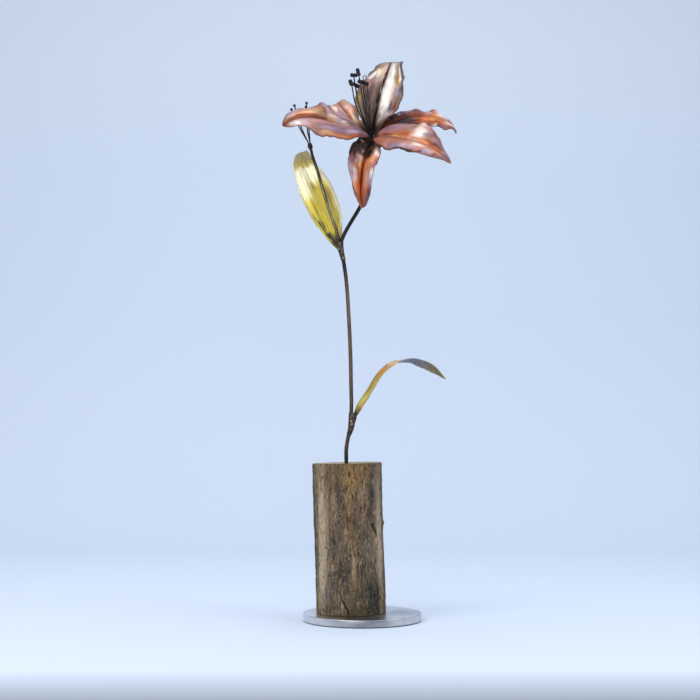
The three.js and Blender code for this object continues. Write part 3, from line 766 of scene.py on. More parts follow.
def log_rings():
    """Rings under the foot, up the side, over the top and down the hole, with a mask for the sawn
    ends and one for hollows, where shade is painted."""
    angles = angles_round(SIDES)
    shares = np.linspace(0, 1, LEVELS)
    grid_angles, grid_heights = np.meshgrid(angles, shares * LOG["height"])
    fibres, pits = log_fibres(grid_angles.shape)
    clefts = sum(depth * cleft(grid_angles, grid_heights, *where) for *where, depth in CLEFTS)
    soften = np.clip(np.minimum(shares, 1 - shares) * 110, 0, 1)[:, None] ** 0.5
    radius = log_radius(grid_angles, grid_heights) + fibres - clefts - 0.6 * (1 - soften)
    middle = LOG["foot_x"] + (LOG["top_x"] - LOG["foot_x"]) * shares[:, None]
    x = radius * np.cos(grid_angles)
    rise = grid_heights + shares[:, None] ** 2 * LOG["slope"] * x
    side = np.stack([middle + x, radius * np.sin(grid_angles), LOG_FOOT + rise], -1)

    foot_middle = np.array([LOG["foot_x"], 0, LOG_FOOT])
    foot_shares = np.array([0.02, 0.5, 0.9, 0.985])[:, None, None]
    foot = foot_middle + (side[0] - foot_middle) * foot_shares

    top, hole, checks = log_top(side[-1], angles)
    wall = np.repeat(hole[None], 4, 0)
    wall[:, :, 2] = np.array([-0.5, -6, -30, SOCKET["floor"] - hole[0, 2]])[:, None] + hole[0, 2]
    under_hole = np.array([SOCKET["x"], 0, SOCKET["floor"]])
    floor = under_hole + (wall[-1:] - under_hole) * 0.05
    rings = np.concatenate([foot, side, top, wall, floor])
    sawn, hollows = np.ones(rings.shape[:2]), np.zeros(rings.shape[:2])
    lowest, highest = len(foot), len(foot) + LEVELS
    sawn[lowest:highest] = 0
    hollows[lowest:highest] = np.clip(pits * 1.2 + clefts * 0.8, 0, 1)
    hollows[highest : highest + len(top)] = checks
    hollows[highest + len(top) :] = 1
    return rings, {"sawn": sawn, "hollow": hollows}


# %% Stains and painted edge shade on the log
STAINS = {
    # degrees round, millimetres up, half width in degrees, half height, strength
    "stain_and_edge_shade": [
        (-50, 150, 6, 16, 1.0), (-55, 125, 5, 14, 0.8), (-112, 160, 6, 22, 0.7), (-106, 120, 8, 16, 0.5),
        (-55, 26, 20, 20, 1.0), (-40, 20, 14, 26, 0.8), (-66, 100, 8, 8, 0.4), (-68, 60, 9, 14, 0.7),
        (-104, 52, 10, 16, 0.8), (-118, 85, 8, 20, 0.5), (-165, 100, 10, 70, 0.4), (20, 60, 25, 40, 0.6),
        (70, 140, 16, 50, 0.5), (130, 40, 30, 30, 0.7), (-125, 12, 14, 14, 0.5), (-82, 22, 10, 10, 0.6),
        # The long thin spots at -173 and -4 degrees are painted shade down the log's left and right
        # outlines.
        (-60, 5, 30, 5, 0.7), (-173, 110, 7, 90, 0.8), (-4, 70, 6, 60, 0.5), (-130, 175, 6, 10, 0.4),
    ],
    "ochre": [
        (-84, 66, 5, 26, 0.7), (-86, 30, 6, 14, 0.7), (-92, 176, 24, 14, 0.7), (-92, 140, 10, 40, 0.6),
        (-140, 150, 10, 30, 0.5), (-78, 165, 12, 18, 0.5), (-60, 180, 10, 8, 0.4), (110, 100, 20, 60, 0.6),
        (0, 120, 14, 60, 0.3), (-68, 16, 6, 8, 0.5),
    ],
    "grey": [
        (-40, 165, 7, 40, 0.8), (-36, 110, 8, 30, 0.7), (-140, 70, 12, 70, 0.7), (-128, 30, 10, 30, 0.5),
        (45, 100, 20, 70, 0.6), (170, 110, 25, 60, 0.6), (-58, 85, 9, 22, 0.6), (-104, 80, 6, 40, 0.3),
    ],
    "pale": [
        (-143, 100, 11, 40, 1.0), (-146, 45, 11, 40, 1.0), (-146, 150, 10, 40, 0.9),
        (-118, 130, 5, 20, 0.4), (-38, 122, 3, 10, 0.6), (-84, 64, 3, 16, 0.5), (-70, 150, 6, 10, 0.3),
        (-30, 110, 10, 70, 1.0), (-28, 40, 9, 40, 0.7), (-42, 96, 3, 6, 0.9), (-104, 16, 2, 12, 0.8),
        (-40, 100, 2.5, 7, 0.8),
    ],
    "moss": [
        (-72, 3, 16, 6, 0.5), (-97, 2, 16, 4, 0.6), (-60, 9, 8, 4, 0.3), (140, 5, 40, 8, 0.7),
    ],
}


def stain_mask(rings, stains):
    """Soft spots added up: for each entry, strength times its near() value at every point."""
    angles = np.arctan2(rings[..., 1], rings[..., 0] - LOG["foot_x"])
    heights = rings[..., 2] - LOG_FOOT
    total = np.zeros(angles.shape)
    for degrees, height, wide, tall, strength in stains:
        total += strength * near(angles, heights, degrees, height, np.radians(wide), tall)
    return np.clip(total, 0, 1)


def weathered_wood():
    """Grey-brown fibres, ochre where the wood is fresher, painted shade near black in the clefts,
    pits, drying checks and the hole, and pale end grain with growth rings. Light and dark fibres
    are noise that is squeezed sideways, at three sizes, and bent by a slower noise so that they
    wander."""
    finish, tree, shader, place = start_finish("weathered_wood", Specular_IOR_Level=0.3)
    slow = stretched(tree, place, (60, 60, 25))
    bend = scaled(tree, put(tree, "TexNoise", {"Vector": slow, "Scale": 1.0}).outputs["Color"], 0.012)
    bent = put(tree, "VectorMath", {0: place, 1: bend}, operation="ADD").outputs[0]
    fibres = noise(tree, stretched(tree, bent, (320, 320, 42)), 1.0, 6.0, 0.7)
    dashes = noise(tree, stretched(tree, bent, (520, 520, 95)), 1.0, 4.0, 0.65)
    grit = noise(tree, stretched(tree, bent, (850, 850, 260)), 1.0, 3.0, 0.6)
    drift = noise(tree, stretched(tree, place, (75, 75, 18)), 1.0, 5.0, 0.65)
    colour = mixed(tree, spread(tree, drift, 0.35, 0.65), "52453A", "745F46")
    for label, tone, amount in (("grey", "706A64", 0.8), ("ochre", "8E6C3C", 0.7), ("pale", "BCA68C", 0.9)):
        colour = washed(tree, colour, tone, times(tree, painted(tree, label), amount), drift)
    # Weathering stains, and painted shade down both outlines of the log.
    colour = washed(tree, colour, "2F2D2A", painted(tree, "stain_and_edge_shade"), fibres)
    colour = mixed(tree, spread(tree, fibres, 0.53, 0.67, 0.0, 0.7), colour, "A68F6C")
    colour = mixed(tree, spread(tree, grit, 0.58, 0.7, 0.0, 0.5), colour, "CDBB98")
    colour = mixed(tree, spread(tree, dashes, 0.34, 0.48, 0.8, 0.0), colour, "251B14")
    colour = mixed(tree, spread(tree, grit, 0.32, 0.43, 0.6, 0.0), colour, "1C1510")
    moss = times(tree, flecked(tree, place, 420.0, 0.75), painted(tree, "moss"))
    colour = mixed(tree, moss, colour, "45431F")
    # Painted shade in the pits, clefts, checks and the hole.
    shaded = spread(tree, painted(tree, "hollow"), 0.1, 0.9, 0.0, 0.85)
    colour = mixed(tree, shaded, colour, "1A130E")

    from_pith = put(tree, "Mapping", {"Vector": place, "Location": (0.023, -0.004, 0)}).outputs[0]
    level = stretched(tree, from_pith, (1, 1, 0))
    distance = put(tree, "VectorMath", {0: level}, operation="LENGTH").outputs["Value"]
    wobble = times(tree, noise(tree, place, 30.0, 2.0), 0.006)
    years = times(tree, plus(tree, distance, wobble), 2900.0)
    ring = spread(tree, sums(tree, "SINE", years, 0.0), -1.0, 1.0)
    end_grain = mixed(tree, ring, "BDB09A", "8E8068")
    patches = spread(tree, noise(tree, place, 60.0, 5.0), 0.4, 0.7, 0.0, 0.5)
    end_grain = mixed(tree, shaded, mixed(tree, patches, end_grain, "8C8478"), "2A2119")
    colour = mixed(tree, painted(tree, "sawn"), colour, end_grain)
    height = heaped(tree, (fibres, 0.8), (dashes, 0.8), (grit, 0.5))
    finish_off(tree, shader, colour, spread(tree, fibres, 0.2, 0.8, 0.95, 0.7), height, 0.0016)
    return finish


WEATHERED_WOOD = weathered_wood()

# %% Log
rings, masks = log_rings()
masks.update({label: stain_mask(rings, stains) for label, stains in STAINS.items()})
dress(ringed_piece("log_weathered", rings, WEATHERED_WOOD, masks), "log")

# %% [markdown]
# ## Rods
#
# The stem, its branch and the bud stalk are steel rod, bent cold, then blackened by the torch
# near each joint and waxed. Lower down the wax has turned the steel brown. Each rod is rings
# along a curve through the CAD model's points, but for a branch that bends a few millimetres
# less far out behind the front petal. The radius is varied a little by a random field, because
# hand-bent rod is never quite even. Soot is painted along its length.


# %% Rod finishes
def rod_finish(name, clean, dark, scale_tone, lift):
    """Waxed steel: two tones that drift along the rod, flecks of scale, soot, and pale painted highlight
    lines.
    """
    finish, tree, shader, place = start_finish(name, Metallic=0.85, Coat_Weight=0.15, Coat_Roughness=0.25)
    drift = noise(tree, stretched(tree, place, (160, 160, 40)), 1.0, 4.0)
    fine = noise(tree, place, 900.0, 3.0)
    colour = mixed(tree, spread(tree, drift, 0.3, 0.7), clean, dark)
    colour = mixed(tree, times(tree, flecked(tree, place, 700.0, 0.35), 0.45), colour, scale_tone)
    colour = washed(tree, colour, "1E1D20", painted(tree, "soot"), drift)
    # Pale lines along the rod, where it would catch the light: painted highlights.
    painted_glint = times(tree, painted(tree, "painted_glint"), spread(tree, fine, 0.35, 0.6))
    colour = mixed(tree, painted_glint, colour, "D8C8BC")
    height = heaped(tree, (hammered(tree, place, 260.0), 0.7), (fine, 0.3))
    finish_off(tree, shader, colour, spread(tree, fine, 0.3, 0.7, 0.28, 0.5), height, lift)
    return finish


def braze_finish():
    """Brazing rod that has run: dark flux and scale, with yellow metal where it was brushed."""
    finish, tree, shader, place = start_finish("brass_braze", Metallic=0.8)
    drift = noise(tree, place, 160.0, 4.0)
    colour = mixed(tree, spread(tree, drift, 0.35, 0.65), "3C3228", "1C1817")
    colour = mixed(tree, times(tree, flecked(tree, place, 420.0, 0.5), 0.25), colour, "8A8074")
    colour = washed(tree, colour, "B4AC88", painted(tree, "bright"), drift)
    rough = spread(tree, drift, 0.3, 0.7, 0.25, 0.5)
    finish_off(tree, shader, colour, rough, hammered(tree, place, 420.0), 0.0005)
    return finish


BROWN_ROD = rod_finish("brown_rod", "62523F", "3F352B", "8A7A62", 0.0003)
STALK_ROD = rod_finish("stalk_rod", "5C5240", "33302A", "8A7A62", 0.0002)
DARK_ROD = rod_finish("dark_rod", "434240", "232629", "6E675E", 0.00012)
BRAZE = braze_finish()

# %% Stem and bud stalk
STEM_POINTS = [
    [-20, 0, 166], [-20, 0, 199], [-20, 0, 216], [-18, 0, 230], [-15, 0, 242], [-14, 0, 257],
    [-13.5, 0, 275], [-14, 0, 300], [-14.5, 0, 331], [-15.5, 0, 359], [-17, 0, 388], [-18.5, 0, 414],
    [-20.5, 0, 436], [-23, 0, 454], [-26, 0, 470], [-26.5, 0, 482],
]
BRANCH_POINTS = [[-22, 2, 494], [-15, 5, 507], [-2, 12, 530], [6.5, 20, 552], [11, 25, 572]]
STALK_POINTS = [
    [-29.4, -2.9, 484], [-33.6, -6, 499], [-40, -8, 517], [-47, -8, 538], [-56, -7, 570], [-63, -6, 591],
    [-65.5, -6, 601],
]
FLOWER_CENTRE = np.array([12.4, 0, 617.7])
FLOWER_AXIS = unit(np.array([-0.14, -0.52, 0.84]))
OUTWARD = unit(np.array([1.0, 0, 0]) - FLOWER_AXIS * FLOWER_AXIS[0])
UPWARD = np.cross(FLOWER_AXIS, OUTWARD)
HUB = {"radius": 4.4, "neck": 3.4, "below": 12, "above": 2.6}


def on_axis(height):
    """A point on the flower's axis, so far above its centre."""
    return FLOWER_CENTRE + FLOWER_AXIS * height


def stem_route():
    """The stem's and branch's points, and a last straight stretch under the flower."""
    ends = [on_axis(-24), on_axis(-HUB["below"] - 1.5 * CLEARANCE)]
    return np.array(STEM_POINTS + BRANCH_POINTS + [end.tolist() for end in ends])


def uneven(radii, sides, amount, seed):
    """Radii for each point of each ring, which waver by an amount in millimetres."""
    return radii[:, None] + amount * soft_noise((len(radii), sides), (9, 5), seed)


def soot_along(line, places):
    """Soot on a rod: soft spots at given heights, each (height, spread, strength)."""
    soot = np.zeros(len(line))
    for height, reach, strength in places:
        soot += strength * np.exp(-(((line[:, 2] - height) / reach) ** 2))
    return np.clip(soot, 0, 1)


def painted_glints(line, sides, places):
    """Painted highlight lines along a rod: each runs between two heights at an angle from the
    front, exp(-(turn / 0.16)^2), and fades over three millimetres at its ends."""
    total = np.zeros((len(line), sides))
    for low, high, degrees in places:
        turn = turn_from(np.radians(degrees), angles_round(sides))
        inside = np.clip(np.minimum(line[:, 2] - low, high - line[:, 2]) / 3, 0, 1)
        total += inside[:, None] * np.exp(-((turn / 0.16) ** 2))
    return np.clip(total, 0, 1)


def rod_piece(name, line, radii, sides, finish, soot, seed, glints=()):
    """A rod with rounded ends, an uneven skin, soot on it and painted highlight lines."""
    radii = rounded(line, radii, 0.6)
    rings = rings_round(line, uneven(radii, sides, 0.07, seed), sides)
    soot = np.repeat(soot_along(line, soot)[:, None], sides, 1)
    return ringed_piece(name, rings, finish, {"soot": soot, "painted_glint": painted_glints(line, sides, glints)})


stem_line = eased(stem_route(), end_to_end(420))
STEM_SOOT = [
    # height, spread, strength
    (247, 16, 0.9), (464, 22, 1.8), (520, 40, 1.2), (575, 40, 1.0), (166, 30, 0.6), (203, 24, 0.7),
]
dress(rod_piece("stem_forged", stem_line, ROD_RADIUS, 24, BROWN_ROD, STEM_SOOT, 21), "stem")

stalk_line = eased(STALK_POINTS, end_to_end(160))
stalk_radii = np.linspace(2.2, 1.8, len(stalk_line))
STALK_SOOT = [(600, 30, 0.9), (484, 10, 0.9)]
# Painted highlight lines on the bud stalk.
STALK_GLINTS = [(484, 556, -14), (506, 532, 40)]  # from, to, degrees from the front
stalk = rod_piece("bud_stalk_forged", stalk_line, stalk_radii, 40, STALK_ROD, STALK_SOOT, 22, STALK_GLINTS)
dress(stalk, "bud_stalk")

# %% Brazed joints
JOINTS = {
    # name: heights from and to, radius, bulge and the way it faces in degrees (0 is the front
    # and 90 the right), seed, CAD node, bright spots as (height, degrees, reach)
    "leaf_joint": (234.5, 263, 2.95, 5.4, 90, 31, "leaf_braze", [(252.5, 4, 0.9), (248.5, 24, 1.1)]),
    "fork_joint": (459, 482, 2.95, 4.2, 245, 32, "fork_braze", [(473.5, -60, 1.2), (461.5, 35, 0.9)]),
}
JOINT_SIDES, JOINT_RINGS = 48, 60


def joint_rings(low, high, radius, bulge, facing, seed):
    """A drop of metal that hangs on the rod: a thin lumpy sleeve, plus a lobe on the side where
    a leaf or stalk comes in, bulge s^1.4 cos^2 of the angle from it, which draws in again above
    s = 0.8. Its inner wall clears the rod."""
    heights = eased(stem_route(), np.linspace(0, 1, 4000))[:, 2]
    start, end = (np.searchsorted(heights, level) / 3999 for level in (low, high))
    shares = end_to_end(JOINT_RINGS)
    line = eased(stem_route(), start + (end - start) * shares)
    bore = rings_round(line, np.full(JOINT_RINGS + 1, ROD_RADIUS + 0.9 * CLEARANCE), JOINT_SIDES)
    lobe = np.clip(np.cos(angles_round(JOINT_SIDES) - np.radians(facing)), 0, 1) ** 2
    rise = shares**1.4 * (1 - np.clip((shares - 0.8) / 0.2, 0, 1) ** 2 * 0.7)
    lumps = soft_noise((JOINT_RINGS + 1, JOINT_SIDES), (11, 8), seed)
    ends = np.sin(np.pi * shares)[:, None] ** 0.5
    radii = radius + bulge * rise[:, None] * lobe + (0.35 + 0.3 * lumps) * ends
    return rings_round(line, np.maximum(radii, ROD_RADIUS + 0.4), JOINT_SIDES), bore[::-1]


def bright_spots(skin, spots, line_x):
    """Soft spots of clean metal on a joint: exp(-(dz / reach)^2 - (turn / 0.3)^2)."""
    turn = np.arctan2(skin[..., 0] - line_x, -skin[..., 1])
    total = np.zeros(turn.shape)
    for height, degrees, reach in spots:
        rise = (skin[..., 2] - height) / reach
        total += np.exp(-(rise**2) - ((turn - np.radians(degrees)) / 0.3) ** 2)
    return np.clip(total, 0, 1)


for name, (*shape, node, spots) in JOINTS.items():
    skin, bore = joint_rings(*shape)
    rings = np.concatenate([skin, bore])
    count, sides = rings.shape[:2]
    bright = bright_spots(rings, spots, bore[JOINT_RINGS // 2, :, 0].mean())
    # The row after the last one is the first, so the sleeve closes on itself like a doughnut.
    faces = (grid_quads(count + 1, sides) % (count * sides)).tolist()
    joint = make_piece(name, rings.reshape(-1, 3), faces, BRAZE, {"bright": bright.ravel()})
    dress(joint, node)

# %% [markdown]
# ## Buds
#
# The four unopened buds are wires whose ends were melted until they drew up into balls. They
# are bundled in a wrapped collar on the tip of the stalk. Each wire and its ball are one skin,
# whose radius grows from the wire's to a half circle at the end.

# %% Collar and buds
BUD_COLLAR = {"radius": 3.2, "height": 8}
BUD = {"wire": 0.85, "ball": 1.9}
BUDS = {
    # name: (point that the wire passes, place of the ball)
    "bud_1": ([-80.8, -1.5, 631], [-90.7, -3, 653.5]),
    "bud_2": ([-78.4, 3, 632], [-87.2, 6, 660.5]),
    "bud_3": ([-70.7, 3, 631], [-71.6, 5, 663.5]),
    "bud_4": ([-68.6, -2, 631], [-71.9, -7, 656]),
}
stalk_end = np.array(STALK_POINTS[-1], float)
stalk_run = unit(stalk_end - np.array(STALK_POINTS[-2], float))
collar_foot = stalk_end + stalk_run * CLEARANCE


def collar_rings():
    """Five turns of binding wire pulled tight: the radius is a slow belly times a row of half
    waves."""
    shares = end_to_end(90)
    line = collar_foot + stalk_run * BUD_COLLAR["height"] * shares[:, None]
    belly = eased([0.72, 1.0, 0.97, 0.78], shares)
    turns = 0.9 + 0.1 * np.abs(np.sin(5 * np.pi * shares))
    radii = rounded(line, BUD_COLLAR["radius"] * belly * turns, 0.5)
    return rings_round(line, uneven(radii, 32, 0.12, 41), 32)


def bud_rings(passing, ball, index):
    """A wire from the collar's top that passes a point and swells into a ball: near the end
    the radius is that of a circle, sqrt(R^2 - d^2), where that is more than the wire's."""
    angle = np.radians(225 - 90 * index)
    sideways = np.array([1.45 * np.cos(angle), 1.45 * np.sin(angle), 0.35 * np.cos(angle)])
    start = collar_foot + stalk_run * (BUD_COLLAR["height"] + 2 * CLEARANCE) + sideways
    passing, ball = np.array(passing, float), np.array(ball, float)
    tip = ball + unit(ball - passing) * BUD["ball"]
    line = eased([start, passing, tip], end_to_end(130))
    from_ball = np.linalg.norm(line - ball, axis=1)
    sphere = np.sqrt(np.maximum(BUD["ball"] ** 2 - from_ball**2, 0))
    wire = rounded(line, BUD["wire"], 0.3)
    along = lengths_along(line)
    radii = np.where(along < along[-1] - BUD["ball"], np.maximum(wire, sphere), sphere)
    return rings_round(line, uneven(np.maximum(radii, 0.02), 18, 0.05, 42 + index), 18)


def dark_piece(name, rings, node, soot):
    """A piece of the dark rod finish, evenly sooted, that takes a CAD node's place."""
    dress(ringed_piece(name, rings, DARK_ROD, {"soot": np.full(rings.shape[:2], soot)}), node)


dark_piece("bud_collar_wrapped", collar_rings(), "bud_collar", 0.8)
for index, (node, (passing, ball)) in enumerate(BUDS.items()):
    dark_piece(f"{node}_wire", bud_rings(passing, ball, index), node, 0.75)

# %% [markdown]
# ## Petals
#
# A petal is cut from copper sheet, beaten over a stake so that each half bulges, and creased
# along the middle. Its edges are stretched until they ruffle, and the torch paints it: the
# oxide goes from orange through oxblood to mauve and slate as the copper gets hotter. Among
# the torch's marks are pale painted highlights, and black painted shade at the throat.
#
# The shape is a grid of two parameters. The first runs along the petal, where the rise above
# the flower's plane and the swing sideways change smoothly. The second runs across it, where a
# V-fold, the pillow of each half and the ruffles lift it off its flat side. Six petals are six
# sets of numbers in one function.
#
# Nearly all of those numbers come from a solver. It fitted this formula to traced edges by least
# squares, and its results were rounded to whole degrees and millimetres. A few were then changed,
# and the lobes were added.

# %% Sheet surface
SHEET = 0.9  # thickness
PILLOW = 0.13  # how far each half bulges, as a share of its width
TIP_HALF_WIDTH = 0.7
RUFFLE_PLACES = [0.15, 0.33, 0.5, 0.67, 0.84]  # shares of the length
RUFFLE_SPREAD = 0.09
CLAW_RADIUS = 5.8  # from the flower's axis to a petal's foot
ROWS, COLUMNS = 180, 84

# Shares across the sheet from its right edge to its left, closer together at the crease.
even = np.linspace(-1, 1, COLUMNS + 1)
ACROSS = even * (0.55 + 0.45 * np.abs(even))
ALONG = np.linspace(0, 1, ROWS + 1)


def edge_lift(lifts, shares):
    """The sum of lift exp(-((u - place) / spread)^2) over the ruffles, fading out at the tip."""
    bumps = [h * np.exp(-(((shares - p) / RUFFLE_SPREAD) ** 2)) for h, p in zip(lifts, RUFFLE_PLACES)]
    return np.sum(bumps, axis=0) * np.minimum(1, (1 - shares) * 8)


def rolled(sides, normals, angles):
    """Sides and normals turned round the run by an angle in degrees."""
    c, s = np.cos(np.radians(angles))[:, None], np.sin(np.radians(angles))[:, None]
    return sides * c + normals * s, normals * c - sides * s


def edge_lobes(lobes):
    """What lobes add to the half width and to the lift on their own side, in millimetres: each
    adds its amounts times exp(-((u - place) / reach)^2)."""
    wider, higher = np.zeros((2, ROWS + 1, COLUMNS + 1))
    for place, side, out, lift, reach in lobes:
        bump = np.exp(-(((ALONG[:, None] - place) / reach) ** 2)) * (ACROSS * side > 0)
        wider += out * bump
        higher += lift * bump
    return wider, higher


def sheet_points(middle, sides, normals, half_width, folds, ruffles, pillow, lobes=()):
    """For a share x from the crease to an edge: out = w x cos f, and
    up = w (x sin f + pillow 4 x (1 - x)) + lift x^2.2, where f is the fold."""
    wider, higher = edge_lobes(lobes)
    x = np.abs(ACROSS)
    left, right = edge_lift(ruffles[0], ALONG), edge_lift(ruffles[1], ALONG)
    lifts = np.where(ACROSS > 0, left[:, None], right[:, None]) + higher
    folds, width = np.radians(folds)[:, None], half_width[:, None] + wider
    out = width * x * np.cos(folds) * np.sign(ACROSS)
    up = width * (x * np.sin(folds) + pillow * 4 * x * (1 - x)) + lifts * x**2.2
    return middle[:, None] + sides[:, None] * out[..., None] + normals[:, None] * up[..., None]


def beaten(points, seed, crease, flutter, creased_to):
    """Moves the sheet along its normals: a narrow crease at the middle that ends at a share
    along it, broad hammer dents, ribs that run lengthwise, and a flutter that grows towards the
    edges. The edges are also nibbled in and out a little. Returns points and normals."""
    across = unit(np.gradient(points, axis=1))
    normals = unit(np.cross(np.gradient(points, axis=0), across))
    shape = points.shape[:2]
    dents = soft_noise(shape, (16, 12), seed)
    ribs = soft_noise(shape, (50, 3.4), seed + 200)
    waves = soft_noise(shape, (10, 25), seed + 1)
    nibbles = soft_noise(shape, (4.5, 25), seed + 300)
    ends = np.clip(np.minimum(ALONG, 1 - ALONG) * 12, 0, 1)[:, None]
    x = np.abs(ACROSS)
    crease = crease * np.clip((creased_to - ALONG) * 8, 0, 1)[:, None] * np.exp(-((x / 0.045) ** 2))
    lift = 0.3 * dents + 0.17 * ribs - crease + flutter * waves * x**5
    nibble = 0.9 * nibbles * x**8 * np.sign(ACROSS)
    step = normals * lift[..., None] + across * nibble[..., None]
    return points + step * ends[..., None], normals, across


def sheet_loops(points, normals, across):
    """One closed loop round the sheet for each row: its front from right to left, a rounded
    rim, its back, and the other rim. The sheet thins towards its edges."""
    middle = np.arange(COLUMNS + 1)
    index = np.concatenate([[0, 0], middle, [COLUMNS, COLUMNS]])
    turn = np.radians(np.concatenate([[-90, -45], np.zeros(COLUMNS + 1), [45, 90]]))
    index = np.concatenate([index, index[-2:0:-1]])
    turn = np.concatenate([turn, np.pi - turn[-2:0:-1]])
    thick = 0.5 * SHEET * (1 - 0.4 * np.abs(ACROSS[index]) ** 6)
    step = normals[:, index] * np.cos(turn)[:, None] + across[:, index] * np.sin(turn)[:, None]
    return points[:, index] + step * thick[:, None], index


def sheet_faces(sides):
    """Quads between neighbouring loops. At both ends, quads join the front to the back."""
    half = sides // 2
    inner = np.arange(1, half - 1)
    cap = np.stack([inner, sides - inner, sides - inner - 1, inner + 1], -1)
    corners = np.array([[0, sides - 1, 1], [half - 1, half + 1, half]])
    last = ROWS * sides
    ends = cap.tolist() + corners.tolist()
    ends += (last + cap[:, ::-1]).tolist() + (last + corners[:, ::-1]).tolist()
    return grid_quads(ROWS + 1, sides).tolist() + ends


def torch_colour_and_painted_light(ground, line, marks, seed, creased_to):
    """The colours that the torch leaves, with painted highlights and painted shade among its
    marks, one for each point of the sheet. Each mark is mixed over what is there already, by
    strength exp(-(du / long)^4 - (dv / wide)^2), where a negative v is the right half. The places
    are bent by soft noise, and the mask is streaked along the sheet, so that no mark has an even
    border."""
    shape = (ROWS + 1, COLUMNS + 1)
    streaks, blots = soft_noise(shape, (34, 2.6), seed + 400), soft_noise(shape, (9, 8), seed + 500)
    along = ALONG[:, None] + 0.016 * blots + 0.016 * streaks
    across = ACROSS[None, :] + 0.08 * streaks - 0.06 * blots
    colour = np.ones((*shape, 1)) * np.array(linear(ground))
    for tone, u, v, long, wide, strength in marks:
        mask = strength * np.exp(-(((along - u) / long) ** 4) - ((across - v) / wide) ** 2)
        mask = np.clip(mask * (1 + 0.9 * (streaks + 0.4 * blots) * (1 - mask)), 0, 1)[..., None]
        colour = colour + (np.array(linear(TONES[tone])) - colour) * mask
    return colour + (np.array(linear(TONES[line])) - colour) * crease_line(seed, creased_to)[..., None]


def crease_line(seed, creased_to):
    """A thin line of scale along the crease, which comes and goes: exp(-(v / 0.03)^2) times a
    slow random field between 0.3 and 1. It ends where the crease does."""
    along = np.clip(0.75 + 0.5 * soft_noise((ROWS + 1, 1), (9, 1), seed + 600), 0.3, 1)
    along = along * np.clip((creased_to - ALONG[:, None]) * 8, 0, 1)
    return along * np.exp(-((ACROSS[None, :] / 0.03) ** 2))


def sheet_piece(node, points, number, seed, finish, torch, beating):
    """A beaten sheet with its rim, its UV map (x along, plus its number, and y across) and its
    torch colours with their painted highlights and shade. The beating is the crease's depth, the
    flutter and where the crease ends."""
    loops, index = sheet_loops(*beaten(points, seed, *beating))
    sides = loops.shape[1]
    u = np.repeat(ALONG[:, None], sides, 1)
    v = np.repeat(ACROSS[index][None, :], ROWS + 1, 0)
    maps = np.stack([u + number, (v + 1) / 2], -1).reshape(-1, 2)
    # The torch colours carry painted highlights and painted shade too.
    colours = {"torch": torch_colour_and_painted_light(*torch, seed, beating[-1])[:, index].reshape(-1, 4)}
    return make_piece(f"{node}_beaten", loops.reshape(-1, 3), sheet_faces(sides), finish, colours, maps)


def start_sheet_finish(name, streaks, strokes, cloud_scale, **settings):
    """A sheet's finish up to its tones: the torch's colours, with painted highlights and shade among
    them, with streaks and finer strokes along the sheet, each (along, across), and clouds. Returns
    what the rest of the finish needs."""
    finish, tree, shader, place = start_finish(name, **settings)
    sheet = put(tree, "UVMap", uv_map="UVMap").outputs[0]
    streaks, strokes = streaked(tree, sheet, *streaks), streaked(tree, sheet, *strokes)
    clouds = noise(tree, place, cloud_scale, 4.0)
    colour = put(tree, "Attribute", attribute_name="torch").outputs["Color"]
    parts = put(tree, "SeparateXYZ", {"Vector": sheet}).outputs
    return finish, tree, shader, place, parts, streaks, strokes, clouds, colour


# %% Petal patterns
BROAD = {"claw": 3.6, "shoulders": (0.78, 0.74), "height": 0}
NARROW = {"claw": 3.8, "shoulders": (0.85, 0.7), "height": -4.5}
PETALS = {
    "petal_left": dict(
        pattern=BROAD, heading=219, length=126, half_width=31, rise=[62, 31, 29, 13, -29],
        swing=[-15, -18, -25], roll=[-4, -28, -8], fold=[12, -4, 3],
        ruffles=([-6, -3, 0, -4, 3], [3, -5, 7, -3, -2]), lobes=[(0.525, -1, 2.4, 0, 0.024)],
    ),
    "petal_back_left": dict(
        pattern=NARROW, heading=137, length=124, half_width=17, rise=[54, 32, 8, -19, -40],
        swing=[16, -30, -25], roll=[-4, 2, 2], fold=[7, 2, 6],
        ruffles=([8, 0, 7, -4, -3], [0, -7, -2, -6, 2]),
    ),
    "petal_top": dict(
        pattern=BROAD, heading=77, length=124, half_width=28, rise=[41, 40, 40, 24, -8],
        swing=[-3, -12, -1], roll=[13, 5, 0], fold=[38, 5, 10],
        ruffles=([4, 3, 4, -4, -3], [7, -6, -6, 5, 6]),
        lobes=[
            (0.35, 1, 3, 0, 0.12), (0.9, 1, 4, 0, 0.05), (0.87, -1, 2.5, 0, 0.04), (0.68, -1, 1.2, 0, 0.03),
        ],
    ),
    "petal_back_right": dict(
        pattern=NARROW, heading=16, length=124, half_width=20, rise=[43, 15, -7, -27, -73],
        swing=[3, 0, -30], roll=[11, 5, 11], fold=[27, -4, 15],
        ruffles=([1, 2, 1, 1, 0], [-1, -1, 4, -5, -8]),
        lobes=[
            (0.54, 1, 0, 2.2, 0.035), (0.63, 1, 0, -2.8, 0.035), (0.71, 1, 0, 2, 0.025),
            (0.82, 1, 0, -2.4, 0.05), (0.5, -1, 0, -4.5, 0.08),
        ],
    ),
    "petal_right": dict(
        pattern=BROAD, heading=-37, length=124, half_width=30, rise=[10, 3, 0, -23, -49],
        swing=[-2, -3, 4], roll=[15, 6, -24], fold=[31, 4, -5],
        ruffles=([0, -1, 7, 0, -2], [-7, -4, 3, 0, 0]),
    ),
    "petal_front": dict(
        pattern=NARROW, heading=-92, length=119, half_width=22, rise=[14, -9, -22, -47, -105],
        swing=[-9, -11, -14], roll=[-31, -4, -20], fold=[5, 37, 63],
        ruffles=([0, -5, -9, 7, 4], [5, 5, 0, 4, -3]),
    ),
}

